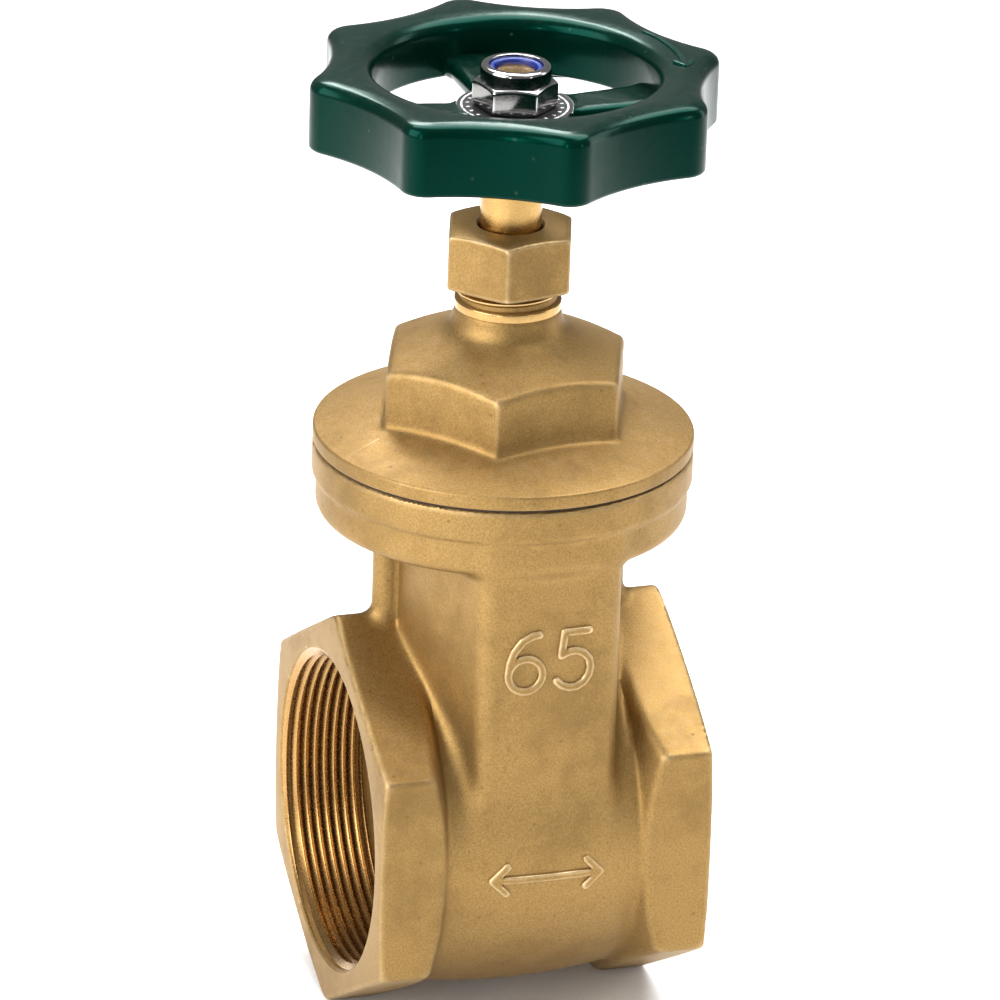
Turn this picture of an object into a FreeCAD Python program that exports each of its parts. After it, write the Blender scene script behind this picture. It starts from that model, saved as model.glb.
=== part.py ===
import FreeCAD, Part
import math
import os

# Non-rising-stem gate valve, 2 1/2 inch threaded ends.
# Frame: origin where the pipe axis meets the stem axis, +X along the pipe,
# +Z up the stem, millimetres. The gate is modelled fully raised (valve open).

V = FreeCAD.Vector

# ---- running and assembly clearances ----
clear_run = 0.05       # radial gap of a part that turns or slides in its hole
clear_body = 0.30      # gap between parts of different moving bodies
clear_seat = 0.04      # gap left between gate and seats when shut
clear_thread = 0.05    # radial gap shown at an assembled screw thread

# ---- pipe ends ----
end_to_end = 80.0      # face to face of the pipe ends
thread_bore_r = 37.6   # root radius of the G 2 1/2 female thread
thread_depth = 20.5    # length of threaded bore from each face
mouth_chamfer = 0.7    # bevel at the mouth of each threaded bore
shoulder_t = 1.0       # bevel from the threaded bore down to the waterway
end_wall = 5.27        # metal between thread root and the middle of a flat
end_hex_trim = 1.1     # flat cut on the top and bottom corners
end_cone_angle = 27.0  # back cone of each hexagon, degrees from the end plane
end_hex_w = 12.4       # width of the hexagon along its corners
end_face_cham = 1.2    # depth of the turned bevel on the outer corners

# ---- gate ----
gate_r = 32.5
gate_half_t = 13.0     # half thickness on the pipe axis when shut
gate_angle = 5.0       # slope of each sealing face, degrees
gate_nut_len = 13.5    # threaded boss above the disc
gate_nut_wall = 4.5
gate_hole_spare = 1.0  # room under the stem's end when the gate is raised
guide_w = 6.0          # guide rib across the body wall
guide_deep = 4.5       # how far the guide rib stands into the chamber

# ---- waterway and chamber ----
port_r = 29.5          # full-bore waterway
seat_w = 4.5           # width of each seat ring's face
chamber_room = 3.5     # gap around the rim of the gate
chamber_side = 1.7     # gap beside the thick top of the gate
chamber_corner_r = 10.0

# ---- body shell ----
barrel_wall = 6.9      # metal around the chamber's round bottom
barrel_rise = -0.3     # barrel centre against the pipe axis
barrel_crown = 2.0     # barrel is this much fuller in the middle
barrel_side_wall = 6.0
barrel_edge = 1.2      # bevel on the barrel's end corners
neck_wall = 5.0        # front and back
neck_side_wall = 8.0
neck_side_y = 10.0     # side walls start to close in here
neck_front_x = 16.0    # half width of the front and back panels
neck_corner_r = 6.0
rib_out = 4.9          # side rib's crown beyond the side wall
rib_w = 6.8
spigot_wall = 7.5      # flange beyond the bonnet's screwed spigot
flange_step = 1.0      # lower part of the flange is this much smaller
flange_t = 7.7
flange_lower_t = 7.7
flange_cone_t = 1.8    # cone under the flange
spigot_len = 9.0

# ---- stem ----
stem_r = 7.1
stem_thread_step = 0.9 # thread radius over the plain stem
engagement = 13.0      # thread left in the gate when it is shut
collar_w = 3.9
collar_stem_t = 3.5
washer_t = 0.7
wheel_square = 9.0     # square drive, across flats
stem_top_r = 4.9
stem_past_disc = 8.3

# ---- bonnet ----
ring_wall = 3.0        # retaining ring outside the stem's collar
ring_t = 4.5
ring_over_gate = 0.9   # room between the raised gate and the ring
shoulder_over_cone = 2.25
bonnet_hex_r = 30.64
bonnet_hex_turn = 9.1  # one corner, degrees past the +X axis
bonnet_crown_rise = 6.0
bonnet_hex_t = 13.85
bonnet_cone_rise = 3.9 # flange's top cone
bonnet_rim_t = 3.4
bonnet_rim_bevel = 0.6
bonnet_cone_r = 16.5   # where the crown cone meets the neck
cavity_low_wall = 3.2
cavity_mid_r = 21.0
gasket_t = 0.5

# ---- packing gland ----
box_floor = 5.6        # metal between shoulder and stuffing box
packing_w = 2.55
packing_t = 3.0
packing_count = 3
packing_washer_t = 1.0
follower_t = 5.5
neck_thread_wall = 2.35
gland_wall = 1.9       # metal between gland thread and the middle of a flat
gland_gap = 4.3        # thread showing under the gland nut
gland_nut_t = 14.15
gland_roof_t = 2.95
gland_hex_turn = 11.2
gland_cham = 1.1

# ---- handwheel ----
wheel_gap = 21.25      # gland nut to the rim's lower edge
wheel_rim_t = 17.2
wheel_lobes = 8
wheel_corner_r = 48.2
wheel_valley_r = 42.6
wheel_tip_r = 5.5      # rounding of each lobe
wheel_open_r = 32.5    # inside of the rim
wheel_wall = 3.5       # rim is a channel open underneath
wheel_edge_r = 4.0
wheel_inner_rise = 3.1 # rim's inner wall stops this far above the outer one
wheel_turn = -1.0      # one lobe and one spoke, degrees past the +X axis
spoke_count = 4
spoke_w_hub = 10.5
spoke_w_rim = 13.5
spoke_below_rim = 9.9  # spoke tops below the rim's top
spoke_t = 5.0
hub_r = 12.5
hub_t = 11.0

# ---- top of the stem ----
disc_r = 13.2
disc_t = 0.6
nut_af = 17.0
nut_hex_h = 6.6
nut_hex_turn = 41.5
nut_collar_r = 8.1
nut_h = 10.0
insert_w = 1.25
insert_t = 1.8
insert_in = 0.6        # insert's top face below the nut's rim

# ---- worked out from the sizes above ----
end_hex_r = (thread_bore_r + end_wall) / math.cos(math.radians(30))
end_back_x = end_to_end / 2 - end_hex_w
seat_outer_r = port_r + seat_w
chamber_half_x = gate_half_t + gate_r * math.tan(math.radians(gate_angle)) + chamber_side
chamber_half_y = gate_r + chamber_room
chamber_bottom_r = gate_r + chamber_room
barrel_r = chamber_bottom_r + barrel_wall
barrel_half_x = chamber_half_x + barrel_side_wall
neck_side_x = chamber_half_x + neck_side_wall
neck_half_y = chamber_half_y + neck_wall
rib_x = neck_side_x + rib_out
rib_low_z = port_r
spigot_r = chamber_half_y + 0.4
body_flange_r = spigot_r + spigot_wall
body_step_r = body_flange_r - flange_step

gate_lift = gate_r + port_r
gate_boss_top = gate_r + gate_nut_len
stem_thread_r = stem_r + stem_thread_step
gate_boss_r = stem_thread_r + gate_nut_wall
stem_low_z = gate_boss_top - engagement
gate_hole_end = gate_lift - stem_low_z + gate_hole_spare

collar_stem_r = stem_r + collar_w
ring_r = collar_stem_r + ring_wall
cavity_top_r = max(gate_boss_r + 2.5, ring_r + 1)
ring_low_z = gate_lift + gate_boss_top + ring_over_gate
ring_top_z = ring_low_z + ring_t
shoulder_z = ring_top_z + 2 * washer_t + collar_stem_t + 2 * clear_run
box_low_z = shoulder_z + box_floor

bonnet_cone_z = shoulder_z - shoulder_over_cone
bonnet_hex_top_z = bonnet_cone_z - bonnet_crown_rise
bonnet_hex_z = bonnet_hex_top_z - bonnet_hex_t
bonnet_rim_z = bonnet_hex_z - bonnet_cone_rise
seam_z = bonnet_rim_z - bonnet_rim_t
spigot_low_z = seam_z - spigot_len
cavity_low_r = spigot_r - cavity_low_wall
cavity_mid_z = bonnet_hex_z - 0.8

box_r = stem_r + packing_w
bonnet_thread_r = box_r + neck_thread_wall
packing_low_z = box_low_z + packing_washer_t
follower_low_z = packing_low_z + packing_count * packing_t
gland_roof_z = follower_low_z + follower_t
gland_top_z = gland_roof_z + gland_roof_t
gland_low_z = gland_top_z - gland_nut_t
bonnet_top_z = gland_roof_z - 1.5
neck_ring_z = gland_low_z - gland_gap + 0.6

flange_step_z = seam_z - flange_t
flange_under_z = flange_step_z - flange_lower_t
neck_top_z = flange_under_z - flange_cone_t

wheel_low_z = gland_top_z + wheel_gap
wheel_top_z = wheel_low_z + wheel_rim_t
spoke_top_z = wheel_top_z - spoke_below_rim
wheel_seat_z = spoke_top_z - hub_t
disc_hole_r = wheel_square / 2 * 1.3
stem_top_z = spoke_top_z + stem_past_disc
insert_r = stem_top_r + insert_w


def cyl(r, z0, z1, x=0.0, y=0.0):
    return Part.makeCylinder(r, z1 - z0, V(x, y, z0))


def cyl_x(r, x0, x1):
    return Part.makeCylinder(r, x1 - x0, V(x0, 0, 0), V(1, 0, 0))


def box(x0, x1, y0, y1, z0, z1):
    return Part.makeBox(x1 - x0, y1 - y0, z1 - z0, V(x0, y0, z0))


def turned(profile):
    """Solid of revolution about Z from (r, z) points."""
    wire = Part.makePolygon([V(r, 0, z) for r, z in profile + profile[:1]])
    return Part.Face(wire).revolve(V(0, 0, 0), V(0, 0, 1), 360)


def turned_x(profile):
    """Solid of revolution about X from (x, r) points."""
    wire = Part.makePolygon([V(x, 0, r) for x, r in profile + profile[:1]])
    return Part.Face(wire).revolve(V(0, 0, 0), V(1, 0, 0), 360)


def hexagon(r, turn_deg, z0, z1):
    points = []
    for k in range(7):
        a = math.radians(turn_deg + 60 * k)
        points.append(V(r * math.cos(a), r * math.sin(a), z0))
    return Part.Face(Part.makePolygon(points)).extrude(V(0, 0, z1 - z0))


def rounded_block(half_x, half_y, r, z0, z1):
    """Upright block with rounded vertical edges."""
    block = box(-half_x, half_x, -half_y, half_y, z0, z1)
    edges = [e for e in block.Edges if abs(e.Vertexes[0].Z - e.Vertexes[1].Z) > 1]
    return block.makeFillet(r, edges)


def tidy(shape):
    shape = shape.removeSplitter()
    if shape.ShapeType == "Compound" and len(shape.Solids) == 1:
        return shape.Solids[0]
    return shape


def end_hex(side):
    """One hexagonal pipe end, corners at top and bottom; side is -1 or +1."""
    points = []
    for k in range(7):
        a = math.radians(90 + 60 * k)
        points.append(V(0, end_hex_r * math.cos(a), end_hex_r * math.sin(a)))
    half = end_to_end / 2
    prism = Part.Face(Part.makePolygon(points)).extrude(V(half, 0, 0))
    slope = math.tan(math.radians(end_cone_angle))
    back_x = end_back_x - end_hex_r * slope
    envelope = turned_x([
        (back_x, 0), (end_back_x, end_hex_r), (end_back_x + 0.01, end_hex_r),
        (half - end_face_cham * slope * 2, end_hex_r), (half, end_hex_r - end_face_cham * 2),
        (half, 0)])
    trim = end_hex_r - end_hex_trim
    solid = prism.common(envelope).common(box(0, half, -60, 60, -trim, trim))
    if side < 0:
        solid = solid.mirror(V(0, 0, 0), V(1, 0, 0))
    return solid


def make_barrel():
    """Round barrel across the pipe, fuller in the middle, its end corners bevelled."""
    low = barrel_half_x - barrel_edge
    end_r = barrel_r - barrel_crown
    crown = [(low * t / 8, barrel_r - barrel_crown * (t / 8) ** 2) for t in range(-8, 9)]
    barrel = turned_x([(-barrel_half_x, 0), (-barrel_half_x, end_r - barrel_edge)] + crown + [
        (barrel_half_x, end_r - barrel_edge), (barrel_half_x, 0)])
    barrel.translate(V(0, 0, barrel_rise))
    return barrel


def make_neck(z0, z1):
    """Upright neck: side walls that close in towards a narrower front and back panel."""
    corners = [(neck_side_x, neck_side_y), (neck_front_x, neck_half_y)]
    ring = [(x, -y) for x, y in corners] + [(-x, -y) for x, y in reversed(corners)]
    ring += [(-x, y) for x, y in corners] + [(x, y) for x, y in reversed(corners)]
    points = [V(x, y, z0) for x, y in ring + ring[:1]]
    neck = Part.Face(Part.makePolygon(points)).extrude(V(0, 0, z1 - z0))
    upright = [e for e in neck.Edges if e.BoundBox.ZLength > (z1 - z0) / 2]
    return neck.makeFillet(neck_corner_r, upright)


def gate_blank(lift):
    """Round disc with two sloping sealing faces, raised by lift."""
    slope = math.tan(math.radians(gate_angle)) * gate_r
    low, high = gate_half_t - slope, gate_half_t + slope
    side = Part.Face(Part.makePolygon([
        V(-low, -gate_r, -gate_r), V(low, -gate_r, -gate_r), V(high, -gate_r, gate_r),
        V(-high, -gate_r, gate_r), V(-low, -gate_r, -gate_r)]))
    disc = side.extrude(V(0, 2 * gate_r, 0)).common(cyl_x(gate_r, -2 * gate_r, 2 * gate_r))
    disc.translate(V(0, 0, lift))
    return disc


def make_body():
    half = end_to_end / 2
    outside = make_barrel()
    for side in (-1, 1):
        outside = outside.fuse(end_hex(side))
    neck = make_neck(0, spigot_low_z)
    ribs = cyl(rib_w / 2, rib_low_z, flange_step_z, rib_x - rib_w / 2)
    ribs = ribs.fuse(box(0, rib_x - rib_w / 2, -rib_w / 2, rib_w / 2, rib_low_z, flange_step_z))
    ribs = ribs.fuse(ribs.mirror(V(0, 0, 0), V(1, 0, 0)))
    flange = turned([
        (0, neck_top_z), (neck_half_y - 1, neck_top_z), (body_step_r - 1.5, flange_under_z - 0.8),
        (body_step_r, flange_under_z + 0.7), (body_step_r, flange_step_z - 0.5),
        (body_flange_r, flange_step_z + 0.5), (body_flange_r, seam_z - 0.4),
        (body_flange_r - 0.4, seam_z), (0, seam_z)])
    outside = outside.fuse(neck).fuse(ribs).fuse(flange)

    # chamber for the gate, then the two threaded ports and the seat bores
    chamber = rounded_block(chamber_half_x, chamber_half_y, chamber_corner_r, 0, spigot_low_z)
    chamber = chamber.fuse(cyl_x(chamber_bottom_r, -chamber_half_x, chamber_half_x))
    seat_x = chamber_half_x + 1  # seat rings run into the chamber's wall
    tan = math.tan(math.radians(gate_angle))
    for side in (-1, 1):
        ring = cyl_x(seat_outer_r, 0, seat_x)
        bottom = gate_half_t + clear_seat - seat_outer_r * tan
        top = gate_half_t + clear_seat + seat_outer_r * tan
        face = Part.Face(Part.makePolygon([
            V(bottom, -seat_outer_r, -seat_outer_r), V(seat_x, -seat_outer_r, -seat_outer_r),
            V(seat_x, -seat_outer_r, seat_outer_r), V(top, -seat_outer_r, seat_outer_r),
            V(bottom, -seat_outer_r, -seat_outer_r)]))
        ring = ring.common(face.extrude(V(0, 2 * seat_outer_r, 0)))
        rail = box(-guide_w / 2, guide_w / 2, chamber_half_y - guide_deep, chamber_half_y + 1,
                   -gate_r / 2, spigot_low_z - 1)
        if side < 0:
            ring = ring.mirror(V(0, 0, 0), V(1, 0, 0))
            rail = rail.mirror(V(0, 0, 0), V(0, 1, 0))
        chamber = chamber.cut(ring).cut(rail)
    inside = chamber.fuse(cyl_x(port_r, -half, half))
    mouth_r = thread_bore_r + mouth_chamfer
    for side in (-1, 1):
        port = turned_x([
            (half - thread_depth - shoulder_t, 0), (half - thread_depth - shoulder_t, port_r + 2),
            (half - thread_depth, thread_bore_r), (half - mouth_chamfer, thread_bore_r),
            (half, mouth_r), (half + 1, mouth_r), (half + 1, 0)])
        if side < 0:
            port = port.mirror(V(0, 0, 0), V(1, 0, 0))
        inside = inside.fuse(port)
    inside = inside.fuse(cyl(spigot_r + clear_thread, spigot_low_z - 1, seam_z + 1))
    return tidy(outside.cut(inside))


def make_gasket():
    z0 = seam_z
    sheet = cyl(body_flange_r - 0.7, z0, z0 + gasket_t)
    return sheet.cut(cyl(spigot_r + clear_thread, z0 - 1, z0 + gasket_t + 1))


def make_bonnet():
    low = seam_z + gasket_t
    bevel = bonnet_rim_bevel
    outside = turned([
        (0, spigot_low_z), (spigot_r - bevel, spigot_low_z), (spigot_r, spigot_low_z + bevel),
        (spigot_r, low), (body_flange_r - 0.4, low), (body_flange_r, low + 0.4),
        (body_flange_r, bonnet_rim_z - bevel), (body_flange_r - bevel, bonnet_rim_z),
        (bonnet_hex_r, bonnet_hex_z), (0, bonnet_hex_z)])
    slope = bonnet_crown_rise / (bonnet_hex_r - bonnet_cone_r)
    grip = hexagon(bonnet_hex_r, bonnet_hex_turn, bonnet_rim_z, bonnet_cone_z)
    crown = turned([
        (0, bonnet_rim_z), (bonnet_hex_r + 1, bonnet_rim_z), (bonnet_hex_r + 1, bonnet_hex_top_z - slope),
        (bonnet_cone_r, bonnet_cone_z), (0, bonnet_cone_z)])
    outside = outside.fuse(grip.common(crown))
    neck_r = bonnet_thread_r + 0.2
    outside = outside.fuse(turned([
        (0, bonnet_cone_z - 3), (bonnet_cone_r, bonnet_cone_z - 3), (bonnet_cone_r, bonnet_cone_z),
        (neck_r + 2, bonnet_cone_z + 1.4), (neck_r + 0.7, bonnet_cone_z + 3.3), (neck_r, bonnet_cone_z + 6),
        (neck_r, neck_ring_z), (neck_r - 1, neck_ring_z), (neck_r - 1, neck_ring_z + 1.4),
        (bonnet_thread_r, neck_ring_z + 2), (bonnet_thread_r, bonnet_top_z - bevel),
        (bonnet_thread_r - bevel, bonnet_top_z), (0, bonnet_top_z)]))
    inside = turned([
        (0, spigot_low_z - 1), (cavity_low_r, spigot_low_z - 1), (cavity_low_r, spigot_low_z),
        (cavity_mid_r, cavity_mid_z), (cavity_top_r, cavity_mid_z + 5), (cavity_top_r, ring_low_z - 1),
        (ring_r + clear_thread, ring_low_z), (ring_r + clear_thread, ring_top_z),
        (collar_stem_r + 0.4, ring_top_z), (collar_stem_r + 0.4, shoulder_z),
        (stem_r + clear_run, shoulder_z), (stem_r + clear_run, box_low_z), (box_r, box_low_z),
        (box_r, bonnet_top_z + 1), (0, bonnet_top_z + 1)])
    return tidy(outside.cut(inside))


def make_stem():
    thrust_top = shoulder_z - washer_t - clear_run
    thrust_low = thrust_top - collar_stem_t
    drive_top = spoke_top_z - 0.5
    core_r = wheel_square / 2 - 0.2
    stem = turned([
        (0, stem_low_z), (stem_thread_r - 1, stem_low_z), (stem_thread_r, stem_low_z + 1),
        (stem_thread_r, thrust_low - 7), (stem_r, thrust_low - 6), (stem_r, thrust_low),
        (collar_stem_r, thrust_low), (collar_stem_r, thrust_top), (stem_r, thrust_top),
        (stem_r, wheel_seat_z), (core_r, wheel_seat_z), (core_r, drive_top), (stem_top_r, drive_top),
        (stem_top_r, stem_top_z - 0.6), (stem_top_r - 0.6, stem_top_z), (0, stem_top_z)])
    half = wheel_square / 2
    square = box(-half, half, -half, half, wheel_seat_z - 1, drive_top)
    drive = square.common(cyl(disc_hole_r, wheel_seat_z - 1, drive_top + 1))
    drive.rotate(V(0, 0, 0), V(0, 0, 1), wheel_turn)
    return tidy(stem.fuse(drive))


def make_retaining_ring():
    ring = cyl(ring_r, ring_low_z, ring_top_z)
    ring = ring.cut(cyl(stem_thread_r + clear_body, ring_low_z - 1, ring_top_z + 1))
    slot = box(-ring_r - 1, ring_r + 1, -1.5, 1.5, ring_low_z - 1, ring_low_z + 1.6)
    return tidy(ring.cut(slot))


def make_thrust_washer(z0):
    return cyl(collar_stem_r, z0, z0 + washer_t).cut(cyl(stem_r + clear_body, z0 - 1, z0 + washer_t + 1))


def make_packing_ring(index):
    z0 = packing_low_z + packing_t * index
    return cyl(box_r, z0, z0 + packing_t).cut(cyl(stem_r + clear_run, z0 - 1, z0 + packing_t + 1))


def make_packing_washer():
    washer = cyl(box_r - 0.1, box_low_z, packing_low_z)
    return washer.cut(cyl(stem_r + clear_body, box_low_z - 1, packing_low_z + 1))


def make_gland_follower():
    sleeve = cyl(box_r - 0.1, follower_low_z, gland_roof_z)
    return tidy(sleeve.cut(cyl(stem_r + clear_body, follower_low_z - 1, gland_roof_z + 1)))


def make_gland_nut():
    flat_r = bonnet_thread_r + gland_wall
    corner_r = flat_r / math.cos(math.radians(30))
    blank = hexagon(corner_r, gland_hex_turn, gland_low_z, gland_top_z)
    crown = turned([
        (0, gland_low_z), (flat_r - 0.4, gland_low_z), (corner_r, gland_low_z + gland_cham),
        (corner_r, gland_top_z - gland_cham), (flat_r - 0.4, gland_top_z), (0, gland_top_z)])
    inside = cyl(bonnet_thread_r + clear_thread, gland_low_z - 1, gland_roof_z)
    inside = inside.fuse(cyl(stem_r + 0.4, gland_roof_z - 1, gland_top_z + 1))
    return tidy(blank.common(crown).cut(inside))


def make_wedge():
    disc = gate_blank(gate_lift)
    boss = cyl(gate_boss_r, gate_lift, gate_lift + gate_boss_top)
    gate = disc.fuse(boss)
    hole = cyl(stem_thread_r + clear_run, gate_lift - gate_hole_end, gate_lift + gate_boss_top + 1)
    gate = gate.cut(hole)
    slot_w = guide_w / 2 + clear_body
    slot_y = chamber_half_y - guide_deep - clear_body
    reach = chamber_half_y
    for side in (-1, 1):
        slot = box(-slot_w, slot_w, min(side * slot_y, side * reach), max(side * slot_y, side * reach),
                   gate_lift - gate_r - 1, gate_lift + gate_r + 1)
        gate = gate.cut(slot)
    return tidy(gate)


def wheel_outline(inset):
    """Closed wire at z = 0: a rounded tip on each lobe, joined by tangent hollows."""
    step = 2 * math.pi / wheel_lobes
    tip_r = wheel_tip_r - inset
    tip_at = wheel_corner_r - wheel_tip_r
    reach = wheel_valley_r - wheel_tip_r
    hollow_at = (reach ** 2 - tip_at ** 2) / (2 * (reach - tip_at * math.cos(step / 2)))
    hollow_r = hollow_at - wheel_valley_r + inset

    def at(r, a):
        return V(r * math.cos(a), r * math.sin(a), 0)

    def join(tip_angle, hollow_angle):
        tip, hollow = at(tip_at, tip_angle), at(hollow_at, hollow_angle)
        return tip + (hollow - tip) * (tip_r / (tip_r + hollow_r))

    edges = []
    for k in range(wheel_lobes):
        a = k * step
        start, end = join(a, a - step / 2), join(a, a + step / 2)
        edges.append(Part.Arc(start, at(tip_at + tip_r, a), end).toShape())
        low = at(wheel_valley_r - inset, a + step / 2)
        edges.append(Part.Arc(end, low, join(a + step, a + step / 2)).toShape())
    return Part.Wire(edges)


def make_handwheel():
    height = wheel_top_z - wheel_low_z
    rim = Part.Face(wheel_outline(0)).extrude(V(0, 0, height))
    rim.translate(V(0, 0, wheel_low_z))
    rim = rim.cut(cyl(wheel_open_r, wheel_low_z - 1, wheel_top_z + 1))
    top_edges = [e for e in rim.Edges if e.BoundBox.ZMin > wheel_top_z - 0.01]
    rim = rim.makeFillet(wheel_edge_r, top_edges)
    channel = Part.Face(wheel_outline(wheel_wall)).extrude(V(0, 0, height - wheel_wall))
    channel.translate(V(0, 0, wheel_low_z))
    channel = channel.cut(cyl(wheel_open_r + wheel_wall, wheel_low_z - 1, wheel_top_z + 1))
    rim = rim.cut(channel)
    inner_low = wheel_low_z + wheel_inner_rise
    rim = rim.cut(cyl(wheel_open_r + wheel_wall + 0.1, wheel_low_z - 1, inner_low))
    reach = wheel_open_r + wheel_wall / 2
    low = spoke_top_z - spoke_t
    arm = Part.Face(Part.makePolygon([
        V(0, -spoke_w_hub / 2, low), V(reach, -spoke_w_rim / 2, low), V(reach, spoke_w_rim / 2, low),
        V(0, spoke_w_hub / 2, low), V(0, -spoke_w_hub / 2, low)])).extrude(V(0, 0, spoke_t))
    wheel = rim.fuse(cyl(hub_r, wheel_seat_z, spoke_top_z - disc_t))
    for k in range(spoke_count):
        spoke = arm.copy()
        spoke.rotate(V(0, 0, 0), V(0, 0, 1), 360 * k / spoke_count)
        wheel = wheel.fuse(spoke)
    wheel = wheel.cut(cyl(disc_r + 0.2, spoke_top_z - disc_t, spoke_top_z + 1))
    half = wheel_square / 2 + clear_run
    hole = box(-half, half, -half, half, wheel_seat_z - 1, spoke_top_z + 1)
    hole = hole.common(cyl(disc_hole_r + clear_run, wheel_seat_z - 1, spoke_top_z + 1))
    wheel = tidy(wheel.cut(hole))
    wheel.rotate(V(0, 0, 0), V(0, 0, 1), wheel_turn)
    return wheel


def make_disc():
    z0 = spoke_top_z - disc_t
    return cyl(disc_r, z0, spoke_top_z).cut(cyl(disc_hole_r + 0.1, z0 - 1, spoke_top_z + 1))


def make_wheel_nut():
    z0 = spoke_top_z
    corner_r = nut_af / 2 / math.cos(math.radians(30))
    blank = hexagon(corner_r, nut_hex_turn, z0, z0 + nut_hex_h)
    crown = turned([
        (0, z0), (nut_af / 2, z0), (corner_r, z0 + 0.8), (corner_r, z0 + nut_hex_h - 1.2),
        (nut_af / 2 - 0.2, z0 + nut_hex_h), (0, z0 + nut_hex_h)])
    top = z0 + nut_h
    collar = turned([
        (0, z0 + nut_hex_h - 2), (nut_collar_r, z0 + nut_hex_h - 2), (nut_collar_r, top - 1.4),
        (nut_collar_r - 1.2, top), (0, top)])
    nut = blank.common(crown).fuse(collar)
    insert_top = top - insert_in
    pocket = cyl(insert_r, insert_top - insert_t, top + 1)
    return tidy(nut.cut(pocket).cut(cyl(stem_top_r + 0.02, z0 - 1, top + 1)))


def make_nut_insert():
    top = spoke_top_z + nut_h - insert_in
    return cyl(insert_r, top - insert_t, top).cut(cyl(stem_top_r + 0.02, top - insert_t - 1, top + 1))


def main():
    os.makedirs("parts", exist_ok=True)
    upper_z = shoulder_z - washer_t
    lower_z = upper_z - 2 * clear_run - collar_stem_t - washer_t
    solids = {
        "valve_body": make_body(),
        "bonnet_gasket": make_gasket(),
        "bonnet": make_bonnet(),
        "stem_retaining_ring": make_retaining_ring(),
        "upper_thrust_washer": make_thrust_washer(upper_z),
        "lower_thrust_washer": make_thrust_washer(lower_z),
        "packing_washer": make_packing_washer(),
        "gland_follower": make_gland_follower(),
        "gland_nut": make_gland_nut(),
        "stem": make_stem(),
        "gate_wedge": make_wedge(),
        "handwheel": make_handwheel(),
        "wheel_disc": make_disc(),
        "wheel_nut": make_wheel_nut(),
        "nut_insert": make_nut_insert(),
    }
    for index in range(packing_count):
        solids["packing_ring_%d" % (index + 1)] = make_packing_ring(index)
    for name, solid in solids.items():
        box_mm = solid.BoundBox
        print("%-20s valid %s solids %d volume %.0f  x %.1f..%.1f y %.1f..%.1f z %.1f..%.1f" % (
            name, solid.isValid(), len(solid.Solids), solid.Volume, box_mm.XMin, box_mm.XMax,
            box_mm.YMin, box_mm.YMax, box_mm.ZMin, box_mm.ZMax))
        solid.exportStep("parts/%s.step" % name)


main()
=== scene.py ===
import bpy
import bmesh
import math
import numpy as np
from mathutils import Matrix, Vector


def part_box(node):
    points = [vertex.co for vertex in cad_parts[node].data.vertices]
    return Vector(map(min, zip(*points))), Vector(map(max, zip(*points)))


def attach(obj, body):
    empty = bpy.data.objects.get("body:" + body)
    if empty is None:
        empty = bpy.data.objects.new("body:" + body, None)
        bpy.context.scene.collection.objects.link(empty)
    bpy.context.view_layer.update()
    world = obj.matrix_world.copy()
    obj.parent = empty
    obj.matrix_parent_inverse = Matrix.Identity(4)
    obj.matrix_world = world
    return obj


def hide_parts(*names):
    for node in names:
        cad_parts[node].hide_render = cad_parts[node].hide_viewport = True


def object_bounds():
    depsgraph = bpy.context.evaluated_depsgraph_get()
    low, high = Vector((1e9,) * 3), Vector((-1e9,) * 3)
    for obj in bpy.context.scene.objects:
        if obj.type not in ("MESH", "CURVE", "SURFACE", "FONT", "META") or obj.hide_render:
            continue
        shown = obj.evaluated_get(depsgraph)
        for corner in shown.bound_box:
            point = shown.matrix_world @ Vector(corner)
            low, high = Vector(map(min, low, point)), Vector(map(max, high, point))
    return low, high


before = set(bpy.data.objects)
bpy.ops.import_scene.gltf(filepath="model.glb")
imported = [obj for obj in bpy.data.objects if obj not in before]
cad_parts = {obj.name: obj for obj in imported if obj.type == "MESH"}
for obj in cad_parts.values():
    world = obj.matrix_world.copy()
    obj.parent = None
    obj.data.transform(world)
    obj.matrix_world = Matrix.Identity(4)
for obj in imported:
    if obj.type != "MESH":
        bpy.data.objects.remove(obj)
frameLow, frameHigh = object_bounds()
mm = 0.001
scene = bpy.context.scene


def nodeSpan(node):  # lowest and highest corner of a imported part, in mm
    low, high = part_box(node)
    return [v / mm for v in low], [v / mm for v in high]


def addObject(data, material=None):  # named like its data
    thing = bpy.data.objects.new(data.name, data)
    scene.collection.objects.link(thing)
    if material:
        data.materials.append(material)
    return thing


def meshFromLists(name, points, faces):  # points in mm
    mesh = bpy.data.meshes.new(name)
    mesh.from_pydata([tuple(c * mm for c in p) for p in points], [], faces)
    mesh.update()
    return mesh


def shade(thing, angle=32.0):  # smooth, with creases past the angle
    mesh = thing.data
    mesh.polygons.foreach_set("use_smooth", [True] * len(mesh.polygons))
    mesh.set_sharp_from_angle(angle=math.radians(angle))
    mesh.update()


def applyModifiers(thing):
    evaluated = thing.evaluated_get(bpy.context.evaluated_depsgraph_get())
    mesh = bpy.data.meshes.new_from_object(evaluated)
    thing.modifiers.clear()
    old = thing.data
    thing.data = mesh
    mesh.name = old.name
    bpy.data.meshes.remove(old)
    return thing


def combine(target, other, how):  # boolean with a helper that is used up
    cut = target.modifiers.new("join", "BOOLEAN")
    cut.operation = how
    cut.solver = "EXACT"
    cut.object = other
    applyModifiers(target)
    helperMesh = other.data
    bpy.data.objects.remove(other)
    bpy.data.meshes.remove(helperMesh)
    return target


def carve(target, mesh, material=None):
    return combine(target, addObject(mesh, material), "DIFFERENCE")


def detail(rough, full):  # the step or count for the real thing; rough, a quick-try value, is not used
    return full


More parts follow.
